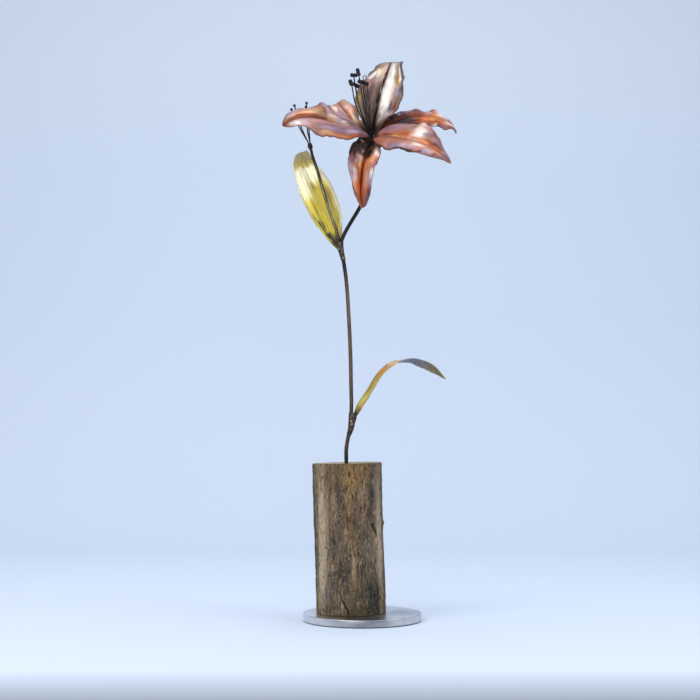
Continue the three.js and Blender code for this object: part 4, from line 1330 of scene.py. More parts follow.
# %% Torch colours and painted light
TONES = {
    "white": "F4EEEA", "cream": "EBDCB4", "pale": "E6CCC0", "peach": "E09868", "rose": "B86C58",
    "ember": "B2561C", "rust": "75300E", "oxblood": "3C1814", "mauve": "8C6A7C", "lilac": "B0A0B6",
    "plum": "4E303E", "olive": "8C7438", "khaki": "766A56", "slate": "4A4856", "soot": "0F0C0C",
    "ivory": "FBF6D0", "straw": "DCC870", "moss": "96813A", "bronze": "5E4E22", "amber": "C4822C",
    "flesh": "DAB088", "steel": "8C8EA2", "gold": "AE9434", "tan": "9A8C60", "salmon": "DE8C74",
}
# For each petal, its ground colour, the tone of its crease, and its marks in the order that they
# are laid: (tone, share along, share across with left above 0, reach along and across, strength).
# The white, pale and cream marks, the steel marks and some lilac and peach marks beside them are painted
# highlights. The soot at each petal's foot, and over the first third of the front petal, is painted shade of
# the flower's throat.
TORCH_AND_PAINTED_LIGHT = {
    "petal_left": ("B0806E", "oxblood", [
        ("mauve", 0.32, 0.55, 0.34, 0.34, 0.9), ("rose", 0.35, 0.25, 0.3, 0.14, 0.5),
        ("plum", 0.55, 0.5, 0.1, 0.16, 0.4), ("lilac", 0.28, 0.72, 0.1, 0.1, 0.5),
        ("lilac", 0.54, 0.62, 0.12, 0.1, 0.5), ("plum", 0.42, 0.42, 0.14, 0.08, 0.5),
        ("ember", 0.36, 0.95, 0.2, 0.07, 0.9), ("peach", 0.48, 0.9, 0.14, 0.1, 0.85),
        ("rust", 0.12, 0.92, 0.1, 0.12, 0.8), ("flesh", 0.58, 0.9, 0.07, 0.07, 0.6),
        ("rust", 0.38, 0.84, 0.12, 0.03, 0.7), ("lilac", 0.8, 0.65, 0.07, 0.3, 0.7),
        ("white", 0.88, 0.6, 0.05, 0.3, 0.85), ("mauve", 0.76, 0.25, 0.1, 0.2, 0.5),
        ("mauve", 0.1, 0.75, 0.08, 0.2, 0.9), ("mauve", 0.18, -0.3, 0.07, 0.3, 0.8),
        ("khaki", 0.22, -0.25, 0.03, 0.25, 0.6), ("white", 0.31, -0.1, 0.04, 0.08, 0.95),
        ("plum", 0.3, -0.34, 0.06, 0.14, 0.8), ("lilac", 0.35, -0.18, 0.03, 0.08, 0.8),
        ("lilac", 0.38, -0.15, 0.03, 0.15, 0.7), ("peach", 0.46, -0.12, 0.06, 0.14, 0.8),
        ("pale", 0.45, -0.26, 0.06, 0.12, 0.8), ("lilac", 0.5, -0.72, 0.035, 0.35, 0.6),
        ("khaki", 0.56, -0.5, 0.05, 0.2, 0.5), ("plum", 0.535, -0.7, 0.02, 0.4, 0.7),
        ("rust", 0.57, -0.75, 0.03, 0.3, 0.6), ("olive", 0.62, -0.4, 0.05, 0.2, 0.8),
        ("rust", 0.7, -0.1, 0.18, 0.1, 0.9), ("ember", 0.8, -0.18, 0.12, 0.1, 0.8),
        ("flesh", 0.75, -0.38, 0.12, 0.12, 0.8), ("pale", 0.87, -0.38, 0.05, 0.14, 0.8),
        ("lilac", 0.88, -0.66, 0.05, 0.22, 0.8), ("plum", 0.985, 0, 0.03, 1.5, 0.9),
        ("rust", 0.93, -0.1, 0.05, 0.25, 0.8), ("plum", 0.62, -0.97, 0.2, 0.07, 0.6),
        ("soot", 0.0, 0, 0.08, 1.5, 0.9),
    ]),
    "petal_back_left": ("C4947C", "rust", [
        ("mauve", 0.36, 0.5, 0.12, 0.6, 0.9), ("slate", 0.3, -0.9, 0.08, 0.2, 0.8),
        ("pale", 0.47, 0.65, 0.035, 0.3, 0.8), ("peach", 0.32, -0.35, 0.12, 0.3, 0.8),
        ("cream", 0.29, -0.32, 0.06, 0.16, 0.7), ("pale", 0.41, -0.5, 0.06, 0.25, 0.6),
        ("rose", 0.44, -0.3, 0.03, 0.2, 0.7), ("rust", 0.44, -0.9, 0.09, 0.14, 0.7),
        ("pale", 0.52, -0.2, 0.04, 0.16, 0.7), ("lilac", 0.58, -0.45, 0.04, 0.2, 0.6),
        ("rust", 0.38, -0.04, 0.14, 0.06, 0.8), ("ember", 0.7, 0, 0.2, 0.3, 0.6),
        ("white", 0.31, -0.42, 0.06, 0.08, 0.8), ("peach", 0.4, -0.72, 0.07, 0.16, 0.9),
        ("slate", 0.5, -0.8, 0.05, 0.2, 0.5), ("soot", 0.0, 0, 0.22, 1.5, 1.0),
    ]),
    "petal_top": ("967A6E", "soot", [
        ("khaki", 0.25, 0.8, 0.22, 0.4, 0.9), ("olive", 0.4, 0.78, 0.1, 0.13, 0.85),
        ("slate", 0.26, 0.62, 0.16, 0.05, 0.6), ("plum", 0.38, 0.93, 0.12, 0.06, 0.6),
        ("plum", 0.32, 0.45, 0.18, 0.14, 0.8), ("mauve", 0.6, 0.66, 0.08, 0.25, 0.7),
        ("plum", 0.54, 0.42, 0.14, 0.2, 0.4), ("rose", 0.56, 0.8, 0.08, 0.14, 0.5),
        ("oxblood", 0.34, 0.14, 0.26, 0.1, 0.8), ("plum", 0.5, 0.82, 0.06, 0.1, 0.6),
        ("lilac", 0.28, 0.42, 0.1, 0.05, 0.6), ("soot", 0.2, 0.6, 0.12, 0.06, 0.6),
        ("rust", 0.6, 0.12, 0.14, 0.06, 0.7), ("pale", 0.66, 0.3, 0.1, 0.08, 0.4),
        ("white", 0.7, 0.58, 0.04, 0.28, 0.85), ("cream", 0.75, 0.38, 0.05, 0.2, 0.8),
        ("khaki", 0.87, 0.55, 0.09, 0.3, 1.0), ("pale", 0.74, 0.16, 0.12, 0.12, 0.6),
        ("slate", 0.96, 0.3, 0.03, 1.0, 0.8), ("slate", 0.8, 0.9, 0.08, 0.15, 0.7),
        ("pale", 0.2, -0.45, 0.12, 0.25, 0.85), ("white", 0.6, -0.32, 0.26, 0.28, 1.0),
        ("white", 0.36, -0.36, 0.16, 0.15, 0.95), ("lilac", 0.22, -0.62, 0.08, 0.18, 0.8),
        ("slate", 0.33, -0.66, 0.08, 0.08, 0.95), ("rust", 0.35, -0.88, 0.06, 0.1, 0.95),
        ("ember", 0.33, -0.8, 0.04, 0.06, 0.7), ("olive", 0.44, -0.84, 0.07, 0.07, 0.8),
        ("pale", 0.5, -0.6, 0.08, 0.1, 0.7), ("lilac", 0.54, -0.78, 0.05, 0.1, 0.8),
        ("slate", 0.57, -0.86, 0.02, 0.1, 0.6), ("olive", 0.68, -0.64, 0.11, 0.1, 1.0),
        ("olive", 0.8, -0.66, 0.08, 0.08, 0.8), ("ember", 0.66, -0.72, 0.07, 0.04, 0.4),
        ("white", 0.8, -0.36, 0.12, 0.2, 0.95), ("slate", 0.72, -0.95, 0.17, 0.08, 0.95),
        ("white", 0.72, -0.82, 0.1, 0.04, 0.8), ("soot", 0.34, 0.02, 0.3, 0.07, 1.0),
        ("oxblood", 0.62, 0.0, 0.2, 0.05, 0.9), ("soot", 0.0, 0, 0.14, 1.5, 0.97),
        ("soot", 0.12, -0.15, 0.1, 0.12, 0.8), ("rust", 0.82, 0.0, 0.15, 0.05, 0.8),
    ]),
    "petal_back_right": ("A0583C", "oxblood", [
        ("oxblood", 0.33, 0.3, 0.16, 1.0, 1.0), ("soot", 0.29, 0.7, 0.05, 0.4, 0.9),
        ("rust", 0.33, 0.2, 0.14, 0.14, 0.6), ("lilac", 0.23, 0.65, 0.01, 0.2, 0.6),
        ("lilac", 0.355, 0.66, 0.012, 0.16, 0.8), ("plum", 0.4, 0.6, 0.03, 0.4, 0.9),
        ("lilac", 0.435, 0.75, 0.015, 0.14, 0.8), ("plum", 0.5, 0.4, 0.04, 0.6, 0.9),
        ("lilac", 0.475, 0.6, 0.01, 0.2, 0.6), ("plum", 0.56, 0.4, 0.05, 0.5, 0.8),
        ("lilac", 0.63, 0.6, 0.05, 0.35, 0.8), ("ember", 0.56, 0.08, 0.14, 0.07, 0.9),
        ("peach", 0.71, 0.24, 0.03, 0.14, 0.9), ("plum", 0.685, 0.7, 0.014, 0.3, 0.7),
        ("white", 0.79, 0.45, 0.06, 0.35, 0.8), ("khaki", 0.9, 0.3, 0.04, 0.6, 0.6),
        ("oxblood", 0.38, -0.55, 0.14, 0.8, 1.0), ("rust", 0.5, -0.4, 0.08, 0.7, 1.0),
        ("rust", 0.6, -0.3, 0.12, 0.25, 1.0), ("ember", 0.66, -0.5, 0.1, 0.25, 0.95),
        ("peach", 0.62, -0.62, 0.07, 0.12, 0.9), ("ember", 0.52, -0.85, 0.04, 0.3, 0.9),
        ("rust", 0.66, -0.26, 0.08, 0.08, 0.9), ("white", 0.68, -0.93, 0.04, 0.07, 0.8),
        ("plum", 0.76, -0.97, 0.05, 0.06, 0.9), ("mauve", 0.82, -0.9, 0.06, 0.1, 0.9),
        ("peach", 0.8, -0.6, 0.06, 0.2, 0.9), ("ember", 0.77, -0.4, 0.02, 0.2, 0.6),
        ("white", 0.88, -0.36, 0.07, 0.25, 1.0), ("lilac", 0.96, -0.5, 0.04, 0.6, 0.8),
        ("white", 0.93, 0.4, 0.05, 0.5, 0.9), ("lilac", 0.88, 0.75, 0.06, 0.2, 0.8),
        ("soot", 0.35, -0.5, 0.13, 0.8, 0.85), ("rust", 0.47, -0.4, 0.05, 0.8, 0.8),
        ("rust", 0.56, -0.25, 0.08, 0.25, 1.0), ("ember", 0.56, -0.5, 0.05, 0.14, 0.9),
        ("peach", 0.62, -0.2, 0.07, 0.1, 0.8), ("amber", 0.66, -0.4, 0.08, 0.12, 0.7),
        ("slate", 0.44, 0.97, 0.06, 0.06, 0.8), ("slate", 0.53, 0.97, 0.03, 0.06, 0.8),
        ("soot", 0.0, 0, 0.2, 1.5, 0.97),
    ]),
    "petal_right": ("B07A68", "rust", [
        ("mauve", 0.2, 0.62, 0.16, 0.3, 0.9), ("slate", 0.13, 0.85, 0.03, 0.1, 0.5),
        ("khaki", 0.21, 0.85, 0.03, 0.1, 0.6), ("rose", 0.1, 0.4, 0.05, 0.2, 0.6),
        ("rust", 0.2, 0.24, 0.09, 0.1, 0.7), ("khaki", 0.4, 0.6, 0.08, 0.25, 0.6),
        ("oxblood", 0.28, 0.94, 0.07, 0.08, 0.8), ("ember", 0.35, 0.26, 0.12, 0.13, 0.8),
        ("olive", 0.3, 0.2, 0.04, 0.1, 0.6), ("peach", 0.33, 0.08, 0.18, 0.05, 0.7),
        ("pale", 0.52, 0.45, 0.075, 0.45, 0.7), ("white", 0.525, 0.45, 0.04, 0.36, 0.55),
        ("peach", 0.58, 0.12, 0.08, 0.1, 0.9), ("steel", 0.59, 0.5, 0.03, 0.3, 0.6),
        ("plum", 0.64, 0.66, 0.05, 0.25, 0.7), ("olive", 0.64, 0.3, 0.05, 0.12, 0.6),
        ("mauve", 0.72, 0.5, 0.06, 0.16, 0.8), ("rust", 0.74, 0.26, 0.1, 0.12, 0.8),
        ("rose", 0.86, 0.3, 0.08, 0.2, 0.7), ("ember", 0.72, 0.12, 0.14, 0.08, 0.8),
        ("peach", 0.74, 0.05, 0.2, 0.04, 0.9), ("oxblood", 0.78, 0.28, 0.1, 0.1, 0.7),
        ("mauve", 0.8, 0.55, 0.09, 0.2, 0.9), ("lilac", 0.92, 0.4, 0.06, 0.6, 0.9),
        ("salmon", 0.12, -0.65, 0.12, 0.25, 0.9), ("rust", 0.06, -0.4, 0.05, 0.3, 0.6),
        ("oxblood", 0.26, -0.97, 0.1, 0.05, 0.9), ("salmon", 0.28, -0.8, 0.08, 0.14, 0.6),
        ("ember", 0.27, -0.52, 0.1, 0.14, 0.5), ("mauve", 0.38, -0.7, 0.14, 0.1, 0.7),
        ("lilac", 0.46, -0.8, 0.12, 0.14, 0.8), ("mauve", 0.6, -0.8, 0.05, 0.15, 0.8),
        ("soot", 0.57, -0.98, 0.12, 0.06, 1.0), ("pale", 0.65, -0.45, 0.06, 0.12, 0.9),
        ("lilac", 0.62, -0.7, 0.03, 0.1, 0.6), ("rust", 0.77, -0.36, 0.05, 0.1, 0.7),
        ("lilac", 0.76, -0.75, 0.05, 0.2, 0.9), ("plum", 0.715, -0.9, 0.02, 0.12, 0.8),
        ("rust", 0.86, -0.3, 0.07, 0.1, 0.8), ("peach", 0.85, -0.5, 0.06, 0.1, 0.8),
        ("plum", 0.83, -0.8, 0.02, 0.3, 0.7), ("mauve", 0.9, -0.85, 0.06, 0.2, 0.8),
        ("rust", 0.95, -0.2, 0.03, 0.5, 0.4), ("rose", 0.75, -0.25, 0.08, 0.14, 0.8),
        ("oxblood", 0.93, 0.12, 0.06, 0.1, 0.7), ("soot", 0.0, 0, 0.05, 1.5, 0.85),
    ]),
    "petal_front": ("CC886C", "rust", [
        ("pale", 0.34, 0.8, 0.1, 0.2, 1.0), ("white", 0.36, 0.82, 0.05, 0.14, 0.9),
        ("salmon", 0.46, 0.7, 0.06, 0.2, 0.8), ("mauve", 0.53, 0.92, 0.05, 0.12, 0.8),
        ("rose", 0.55, 0.75, 0.04, 0.12, 0.6), ("soot", 0.28, 0.4, 0.11, 0.2, 1.0),
        ("oxblood", 0.38, 0.28, 0.08, 0.12, 0.9), ("peach", 0.54, 0.34, 0.12, 0.2, 1.0),
        ("ember", 0.6, 0.1, 0.16, 0.08, 0.9), ("peach", 0.7, 0.42, 0.1, 0.2, 0.9),
        ("pale", 0.7, 0.36, 0.08, 0.12, 0.8), ("lilac", 0.72, 0.75, 0.08, 0.25, 0.95),
        ("white", 0.69, 0.88, 0.05, 0.14, 0.8), ("ember", 0.78, 0.12, 0.16, 0.08, 1.0),
        ("plum", 0.86, 0.85, 0.06, 0.26, 0.8), ("peach", 0.86, 0.4, 0.08, 0.16, 1.0),
        ("peach", 0.92, 0.22, 0.06, 0.2, 0.9), ("mauve", 0.93, 0.75, 0.08, 0.35, 0.9),
        ("soot", 0.3, -0.5, 0.12, 0.6, 1.0), ("slate", 0.34, -0.3, 0.06, 0.1, 1.0),
        ("steel", 0.345, -0.28, 0.03, 0.06, 0.9), ("pale", 0.44, -0.26, 0.035, 0.14, 1.0),
        ("peach", 0.53, -0.18, 0.1, 0.12, 1.0), ("cream", 0.52, -0.22, 0.06, 0.08, 0.8),
        ("lilac", 0.5, -0.42, 0.05, 0.1, 0.7), ("oxblood", 0.43, -0.68, 0.1, 0.2, 1.0),
        ("soot", 0.38, -0.9, 0.17, 0.16, 1.0), ("lilac", 0.58, -0.95, 0.08, 0.06, 0.9),
        ("plum", 0.54, -0.72, 0.04, 0.2, 0.8), ("olive", 0.62, -0.34, 0.05, 0.08, 0.7),
        ("ember", 0.66, -0.1, 0.22, 0.08, 1.0), ("white", 0.69, -0.6, 0.08, 0.22, 1.0),
        ("lilac", 0.66, -0.84, 0.1, 0.12, 0.9), ("ember", 0.785, -0.28, 0.02, 0.3, 0.8),
        ("peach", 0.82, -0.5, 0.06, 0.3, 0.9), ("plum", 0.82, -0.97, 0.06, 0.06, 0.8),
        ("peach", 0.9, -0.32, 0.08, 0.25, 1.0), ("peach", 0.77, -0.24, 0.1, 0.08, 0.9),
        ("peach", 0.6, -0.2, 0.1, 0.1, 0.8), ("peach", 0.76, 0.24, 0.12, 0.12, 1.0),
        ("soot", 0.36, 0.22, 0.1, 0.2, 1.0), ("plum", 0.57, -0.86, 0.05, 0.14, 0.7),
        ("rose", 0.88, -0.8, 0.05, 0.16, 0.8), ("ember", 0.7, 0.0, 0.28, 0.05, 1.0),
        ("soot", 0.1, 0, 0.18, 1.5, 1.0), ("soot", 0.3, -0.05, 0.1, 0.14, 0.9),
        ("white", 0.19, -0.7, 0.02, 0.1, 0.7),
    ]),
}


def petal_points(pattern, heading, length, half_width, rise, swing, roll, fold, ruffles, lobes=()):
    """A petal's middle line starts at the hub and runs along
    out cos r cos s + across cos r sin s + axis sin r, where r is the rise and s the swing.
    The half width is claw (1 - u)^2 + half_width u^a (1 - u)^b / peak + tip u."""
    heading = np.radians(heading)
    out = OUTWARD * np.cos(heading) + UPWARD * np.sin(heading)
    across = np.cross(FLOWER_AXIS, out)

    def runs(shares):
        r, s = np.radians(eased(rise, shares)), np.radians(eased(swing, shares))
        parts = (np.cos(r) * np.cos(s), np.cos(r) * np.sin(s), np.sin(r))
        return sum(part[:, None] * way for part, way in zip(parts, (out, across, FLOWER_AXIS)))

    between = (ALONG[1:] + ALONG[:-1]) / 2
    steps = runs(between) * length / ROWS
    foot = FLOWER_CENTRE + out * CLAW_RADIUS + FLOWER_AXIS * pattern["height"]
    middle = foot + np.vstack([np.zeros(3), np.cumsum(steps, axis=0)])
    along = runs(ALONG)
    flat = square_to(np.broadcast_to(across, along.shape), along)
    sides, normals = rolled(flat, np.cross(along, flat), eased(roll, ALONG))
    a, b = pattern["shoulders"]
    peak = (a / (a + b)) ** a * (b / (a + b)) ** b
    width = pattern["claw"] * (1 - ALONG) ** 2 + half_width * ALONG**a * (1 - ALONG) ** b / peak
    width = width + TIP_HALF_WIDTH * ALONG
    return sheet_points(middle, sides, normals, width, eased(fold, ALONG), ruffles, PILLOW, lobes)


# %% Torch-coloured copper
def torched_copper():
    """The torch's colours with their painted highlights and painted shade, made lighter and darker
    by streaks along the sheet, with hammer marks, chased strokes and dark worn rims."""
    finish, tree, shader, place, parts, streaks, strokes, clouds, colour = start_sheet_finish(
        "torched_copper", (3.0, 16.0), (8.0, 60.0), 55.0,
        Metallic=0.62, Specular_IOR_Level=0.35, Specular_Tint="DCDEE6",
    )
    fine = noise(tree, place, 420.0, 3.0)
    colour = scaled(tree, colour, spread(tree, streaks, 0.32, 0.68, 0.78, 1.18))
    colour = scaled(tree, colour, spread(tree, strokes, 0.3, 0.7, 0.8, 1.16))
    colour = scaled(tree, colour, spread(tree, clouds, 0.3, 0.7, 0.84, 1.12))
    rim = use(tree, RIM, {"Across": parts["Y"], "Width": 0.07, "Wander": clouds})["Mask"]
    colour = mixed(tree, times(tree, rim, 0.7), colour, "3E3036")
    height = heaped(tree, (hammered(tree, place, 190.0), 0.5), (strokes, 0.6), (streaks, 0.8))
    finish_off(tree, shader, colour, spread(tree, fine, 0.3, 0.7, 0.34, 0.5), height, 0.0006)
    return finish


TORCHED_COPPER = torched_copper()

# %% Petals
PETAL_BEATING = (0.7, 1.1, 1.2)  # the crease's depth, the flutter and where the crease ends
for number, (node, shape) in enumerate(PETALS.items()):
    points, seed = petal_points(**shape), 51 + 2 * number
    petal = sheet_piece(node, points, number, seed, TORCHED_COPPER, TORCH_AND_PAINTED_LIGHT[node], PETAL_BEATING)
    dress(petal, node)

# %% [markdown]
# ## Leaves
#
# The two leaves are brass, cut long and narrow, hammered, and scored along their length. They use
# the same sheet as the petals, but their middle line goes through listed points, because a
# leaf bends freely and has no hub to start from. The lower one twists, so that its underside
# shows past the bend.

# %% Leaf shapes
LEAVES = {
    "leaf_upper": dict(
        spine=[
            [-29, 4.7, 474], [-35.5, 8.5, 491], [-42, 9, 510], [-53, 8, 537], [-64.5, 8, 561],
            [-73.5, 13, 581], [-77.5, 28, 599], [-76.5, 41, 606.5], [-75, 51, 602],
        ],
        half_width=[2.5, 10.5, 17.5, 21, 19.5, 15, 9.5, 4.5, 0.7], side=(-1, 0, 0),
        roll=[0, 0, 0, -10, -32], fold=[0, 8, 6, 1, 0], belly=[1, 1, 0.8, 0.2, 0.6],
        ruffles=([0, 1, -1, 1, 0], [0, -2, 2, -2, 1]),
    ),
    "leaf_lower": dict(
        spine=[
            [-7.9, 0, 260.5], [-1, -3, 272], [11, -8, 288], [22, -10, 306], [34, -10, 320.5],
            [45, -8, 326.5], [61, -6, 327], [76, -6, 323], [90, -8, 316.5], [106, -10, 306],
        ],
        half_width=[3.2, 7, 10.6, 12.6, 13, 12.5, 13, 12.5, 9.5, 0.7], side=(0, 1, 0),
        roll=[50, 18, 10, -18, -24], fold=[16, 12, 8, 8, 12], belly=[1, 1, 1, 1, 1],
        ruffles=([0, 1, 0, 1, 0], [0, 0, -1, 1, 1]),
    ),
}
# The ivory marks are painted highlights, where the leaves catch the light.
LEAF_TORCH_AND_PAINTED_LIGHT = {
    "leaf_upper": ("E2D044", "straw", [
        ("gold", 0.33, 0.48, 0.12, 0.14, 0.8), ("moss", 0.3, 0.4, 0.1, 0.03, 0.6),
        ("straw", 0.36, 0.1, 0.1, 0.1, 0.7), ("gold", 0.48, 0.12, 0.035, 0.25, 0.95),
        ("straw", 0.35, 0.9, 0.15, 0.16, 0.8), ("ivory", 0.565, 0.3, 0.07, 2.0, 1.0),
        ("ivory", 0.52, 0.6, 0.1, 0.3, 1.0), ("ivory", 0.55, -0.6, 0.07, 0.4, 1.0),
        ("ivory", 0.46, 0.8, 0.06, 0.2, 0.7), ("tan", 0.76, 0, 0.12, 2.0, 1.0),
        ("gold", 0.66, 0.3, 0.03, 0.7, 0.9), ("moss", 0.72, 0.1, 0.02, 0.4, 0.5),
        ("tan", 0.92, 0, 0.12, 2.0, 0.8), ("gold", 0.24, -0.6, 0.1, 0.2, 0.9),
        ("moss", 0.42, -0.4, 0.06, 0.1, 0.9), ("moss", 0.34, -0.6, 0.09, 0.16, 1.0),
        ("bronze", 0.37, -0.56, 0.05, 0.06, 0.9), ("bronze", 0.22, -0.7, 0.03, 0.05, 0.8),
        ("straw", 0.2, -0.85, 0.06, 0.1, 0.7), ("ivory", 0.46, -0.9, 0.14, 0.14, 1.0),
        ("ivory", 0.3, -0.95, 0.14, 0.12, 0.9), ("straw", 0.13, -0.8, 0.07, 0.2, 0.8),
        ("soot", 0.11, 0.42, 0.06, 0.26, 1.0), ("soot", 0.18, 0.64, 0.05, 0.12, 1.0),
        ("soot", 0.24, 0.7, 0.035, 0.1, 1.0), ("bronze", 0.24, 0.52, 0.03, 0.08, 0.9),
        ("soot", 0.3, 0.8, 0.02, 0.08, 0.8), ("soot", 0.14, 0.52, 0.03, 0.12, 1.0),
        ("moss", 0.21, 0.3, 0.04, 0.08, 0.6), ("slate", 0.1, -0.1, 0.04, 0.4, 0.9),
        ("soot", 0.03, 0, 0.07, 2.0, 1.0), ("moss", 0.16, -0.5, 0.04, 0.1, 0.7),
    ]),
    "leaf_lower": ("BCA84E", "moss", [
        ("bronze", 0.04, 0, 0.06, 2.0, 0.9), ("gold", 0.1, 0.4, 0.05, 0.5, 0.6),
        ("straw", 0.2, -0.5, 0.08, 0.4, 0.5), ("moss", 0.25, 0.5, 0.04, 0.6, 0.7),
        ("straw", 0.14, 0.3, 0.04, 0.3, 0.7), ("amber", 0.37, 0.2, 0.05, 0.9, 0.9),
        ("bronze", 0.32, 0.75, 0.05, 0.2, 0.8), ("moss", 0.31, 0.2, 0.02, 0.4, 0.7),
        ("amber", 0.38, -0.5, 0.05, 0.6, 0.8), ("flesh", 0.5, 0, 0.05, 2.0, 0.85),
        ("salmon", 0.44, 0.2, 0.02, 0.6, 0.7), ("khaki", 0.44, 0.3, 0.02, 0.4, 0.5),
        ("steel", 0.66, 0, 0.1, 2.0, 1.0), ("steel", 0.8, 0, 0.1, 2.0, 0.8),
        ("khaki", 0.93, 0, 0.06, 2.0, 0.6), ("tan", 0.86, -0.3, 0.04, 0.3, 0.6),
        ("moss", 0.9, 0.4, 0.05, 0.2, 0.5), ("oxblood", 0.0, 0, 0.03, 2.0, 0.9),
    ]),
}


def leaf_points(spine, half_width, side, roll, fold, belly, ruffles):
    """The middle line is a smooth curve through the spine's points. The flat side is the part
    of a given direction that is square to the line, and the belly is how much of the petals'
    pillow each half has."""
    along = unit(eased(spine, ALONG + 0.004) - eased(spine, ALONG - 0.004))
    flat = square_to(np.broadcast_to(np.array(side, float), along.shape), along)
    sides, normals = rolled(flat, np.cross(along, flat), eased(roll, ALONG))
    width = eased(half_width, ALONG)
    pillow = PILLOW * eased(belly, ALONG)[:, None]
    return sheet_points(eased(spine, ALONG), sides, normals, width, eased(fold, ALONG), ruffles, pillow)


def hammered_brass():
    """The torch's colours and painted highlights on yellow brass, hammered, scored along the leaf,
    and pricked with dots by the edges and towards the tip."""
    finish, tree, shader, place, parts, streaks, strokes, clouds, colour = start_sheet_finish(
        "hammered_brass", (4.0, 12.0), (9.0, 40.0), 60.0, Metallic=0.2
    )
    colour = scaled(tree, colour, spread(tree, streaks, 0.32, 0.68, 0.8, 1.12))
    colour = scaled(tree, colour, spread(tree, strokes, 0.3, 0.7, 0.86, 1.1))
    rim = use(tree, RIM, {"Across": parts["Y"], "Width": 0.2, "Wander": clouds})["Mask"]
    tip = spread(tree, sums(tree, "FRACT", parts["X"]), 0.6, 0.68, 0.0, 0.8)
    dotted = sums(tree, "MAXIMUM", times(tree, rim, 0.6), tip)
    dots = times(tree, flecked(tree, place, 520.0, 0.5), plus(tree, times(tree, dotted, 0.85), 0.12))
    colour = mixed(tree, times(tree, dots, 0.7), colour, "4A4420")
    height = heaped(tree, (hammered(tree, place, 240.0), 0.4), (strokes, 0.6), (dots, -0.5))
    finish_off(tree, shader, colour, spread(tree, clouds, 0.3, 0.7, 0.32, 0.48), height, 0.0006)
    return finish


HAMMERED_BRASS = hammered_brass()

# %% Leaves
LEAF_BEATING = (0.2, 0.15, 0.5)  # as for the petals
for number, (node, shape) in enumerate(LEAVES.items()):
    points, seed = leaf_points(**shape), 71 + 2 * number
    leaf = sheet_piece(node, points, 10 + number, seed, HAMMERED_BRASS, LEAF_TORCH_AND_PAINTED_LIGHT[node], LEAF_BEATING)
    dress(leaf, node)

# %% [markdown]
# ## Hub, stamens and pistil
#
# All six petals are brazed to a small turned hub, and the stamens stand on top of it. A
# filament is a wire, and its anther a short thick bar, rough with flux, that lies across its end
# or carries straight on from it. The pistil is one thin wire whose end is bent into a small loop.


# %% Hub
def along_axis(rings, height):
    """Rings made round Z, turned so that Z lies on the flower's axis, at a height on it."""
    turn = Vector((0, 0, 1)).rotation_difference(Vector(FLOWER_AXIS)).to_matrix()
    return rings @ np.array(turn).T + on_axis(height)


def hub_rings():
    """A turned cup with rounded steps, whose skin wavers where braze has run over it."""
    radius, neck, below, above = HUB["radius"], HUB["neck"], HUB["below"], HUB["above"]
    corners = [
        (0.3, 0), (ROD_RADIUS, 0), (radius, 3), (radius, below - 4.6), (neck, below - 2.6),
        (neck, below + above - 0.4), (neck - 0.4, below + above), (0.3, below + above),
    ]
    shares, fine = np.linspace(0, 1, len(corners)), np.linspace(0, 1, 71)
    profile = np.stack([np.interp(fine, shares, part) for part in np.array(corners).T], -1)
    rings = turned_rings(profile, 40)
    rings[..., :2] *= 1 + 0.04 * soft_noise(rings.shape[:2], (8, 7), 81)[..., None]
    return along_axis(rings, -below)


dark_piece("flower_hub_turned", hub_rings(), "flower_hub", 0.9)

# %% Stamens
FILAMENT_RADIUS = 0.8
FILAMENT_RING = 2.1
ANTHER_RADIUS = 1.7
CRUST = 1.5  # how many times thicker the flux makes an anther
STAMENS = [
    # heading in degrees, point passed, both ends of the anther, share along it of the filament
    (165, [-4, -23, 655], [[-13.6, -48, 687.5], [-7.2, -47, 687.7]], 0.43),
    (105, [2.5, -20, 655], [[-5.9, -38, 697], [-4.2, -37.5, 690.5]], 1),
    (225, [-7.5, -30, 652], [[-15.2, -55, 678.5], [-13.2, -54.6, 673.8]], 1),
    (285, [-3, -29, 650], [[-10.8, -44.5, 677], [-4.4, -42.5, 674.2]], 0.3),
    (45, [5.5, -12.5, 655], [[-4.2, -27, 684.6], [4.2, -25.5, 683]], 0.55),
    (-15, [10.2, -12.5, 652], [[6.2, -19, 684.5], [6.3, -18.7, 682]], 1),
]
PISTIL = {"radius": 0.7, "pass": [7.6, -16.5, 655], "knot": [1.4, -19, 691], "loop": 2, "turn": 290}
WIRE_RINGS, LOOP_RINGS = 61, 48


def ring_point(heading, radius):
    """A point on the ring on top of the hub where the filaments stand."""
    heading = np.radians(heading)
    way = OUTWARD * np.cos(heading) + UPWARD * np.sin(heading)
    return on_axis(HUB["above"] + 2.5 * CLEARANCE) + radius * way


def filament_rings(heading, passing, ends, seat, seed):
    """A wire from the hub past a point to its anther, which it stops short of by the anther's
    radius, and by more where it meets the anther's side aslant."""
    ends, passing = np.array(ends, float), np.array(passing, float)
    meeting = ends[0] + (ends[1] - ends[0]) * seat
    approach = unit(meeting - passing)
    lean = 0 if seat == 1 else abs(approach @ unit(ends[1] - ends[0]))
    short = (ANTHER_RADIUS + 0.4 * CLEARANCE + FILAMENT_RADIUS * lean) / np.sqrt(1 - lean**2)
    points = [ring_point(heading, FILAMENT_RING), passing, meeting - approach * short]
    line = eased(points, end_to_end(90))
    radii = rounded(line, FILAMENT_RADIUS, 0.25)
    return rings_round(line, uneven(radii, 14, 0.04, seed), 14, (1, 0, 0.01))


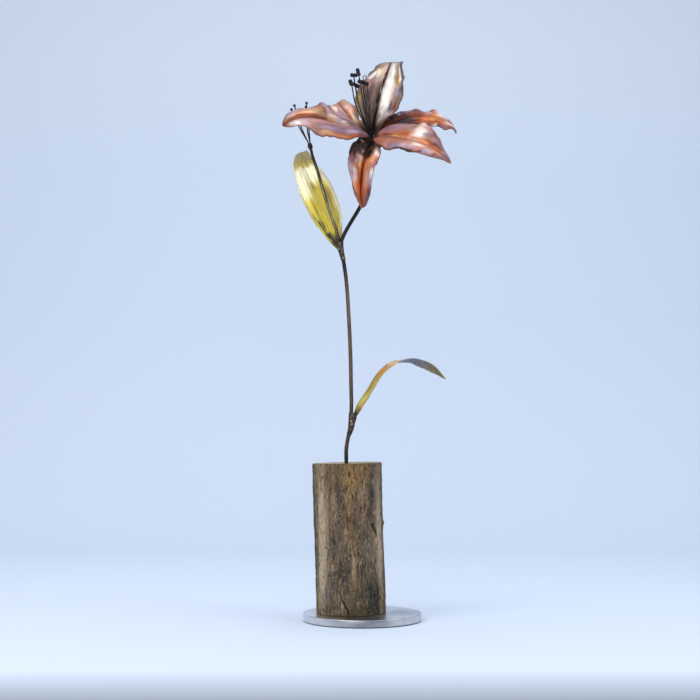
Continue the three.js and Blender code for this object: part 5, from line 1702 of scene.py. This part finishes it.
def anther_rings(ends, seed):
    """A bar with half-round ends and a rough skin: sqrt(R^2 - d^2) past each end."""
    start, end = np.array(ends, float)
    run = unit(end - start)
    line = eased([start - run * ANTHER_RADIUS, end + run * ANTHER_RADIUS], end_to_end(60))
    past = np.maximum(np.maximum((start - line) @ run, (line - end) @ run), 0)
    radii = CRUST * np.sqrt(np.maximum(ANTHER_RADIUS**2 - past**2, 0.0004))
    grains = soft_noise((61, 26), (7, 6), seed)
    return rings_round(line, radii[:, None] * (1 + 0.09 * grains), 26, (1, 0.3, 0.01))


def pistil_rings():
    """A wire to the knot, then most of a turn round a small loop that drifts back as it goes, all
    in one line."""
    knot, loop = np.array(PISTIL["knot"], float), PISTIL["loop"]
    passing = np.array(PISTIL["pass"], float)
    wire = eased([ring_point(0, 0), passing, knot], np.linspace(0, 1, WIRE_RINGS))
    shares = np.arange(1, LOOP_RINGS + 1) / LOOP_RINGS
    angles = np.radians(180 - PISTIL["turn"] * shares)
    across, up = loop + loop * np.cos(angles), 1.4 * loop * np.sin(angles)
    bend = knot + np.stack([across, 2.4 * shares, up], -1)
    line = np.vstack([wire, bend])
    return rings_round(line, rounded(line, PISTIL["radius"], 0.3), 14, (0.2, -1, 0.01))


for index, (heading, passing, ends, seat) in enumerate(STAMENS, 1):
    wire = filament_rings(heading, passing, ends, seat, 90 + index)
    dark_piece(f"filament_{index}_wire", wire, f"filament_{index}", 0.25)
    dark_piece(f"anther_{index}_bar", anther_rings(ends, 100 + index), f"anther_{index}", 0.85)
rings = pistil_rings()
# The wire is bright from just under the knot to the end of the loop.
in_loop = np.clip((np.arange(len(rings)) - WIRE_RINGS + 5) / 6, 0, 1)
bright = np.repeat(0.4 * in_loop[:, None], rings.shape[1], 1)
dress(ringed_piece("pistil_wire", rings, BRAZE, {"bright": bright}), "pistil")

# %% [markdown]
# ## Screws
#
# The two screws under the plate are right as they come from the CAD model, so they stay, and
# only take a finish of plated steel.

# %% Screws
for node in ("base_screw_1", "base_screw_2"):
    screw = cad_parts[node]
    screw.data.materials.clear()
    screw.data.materials.append(ZINC_STEEL)
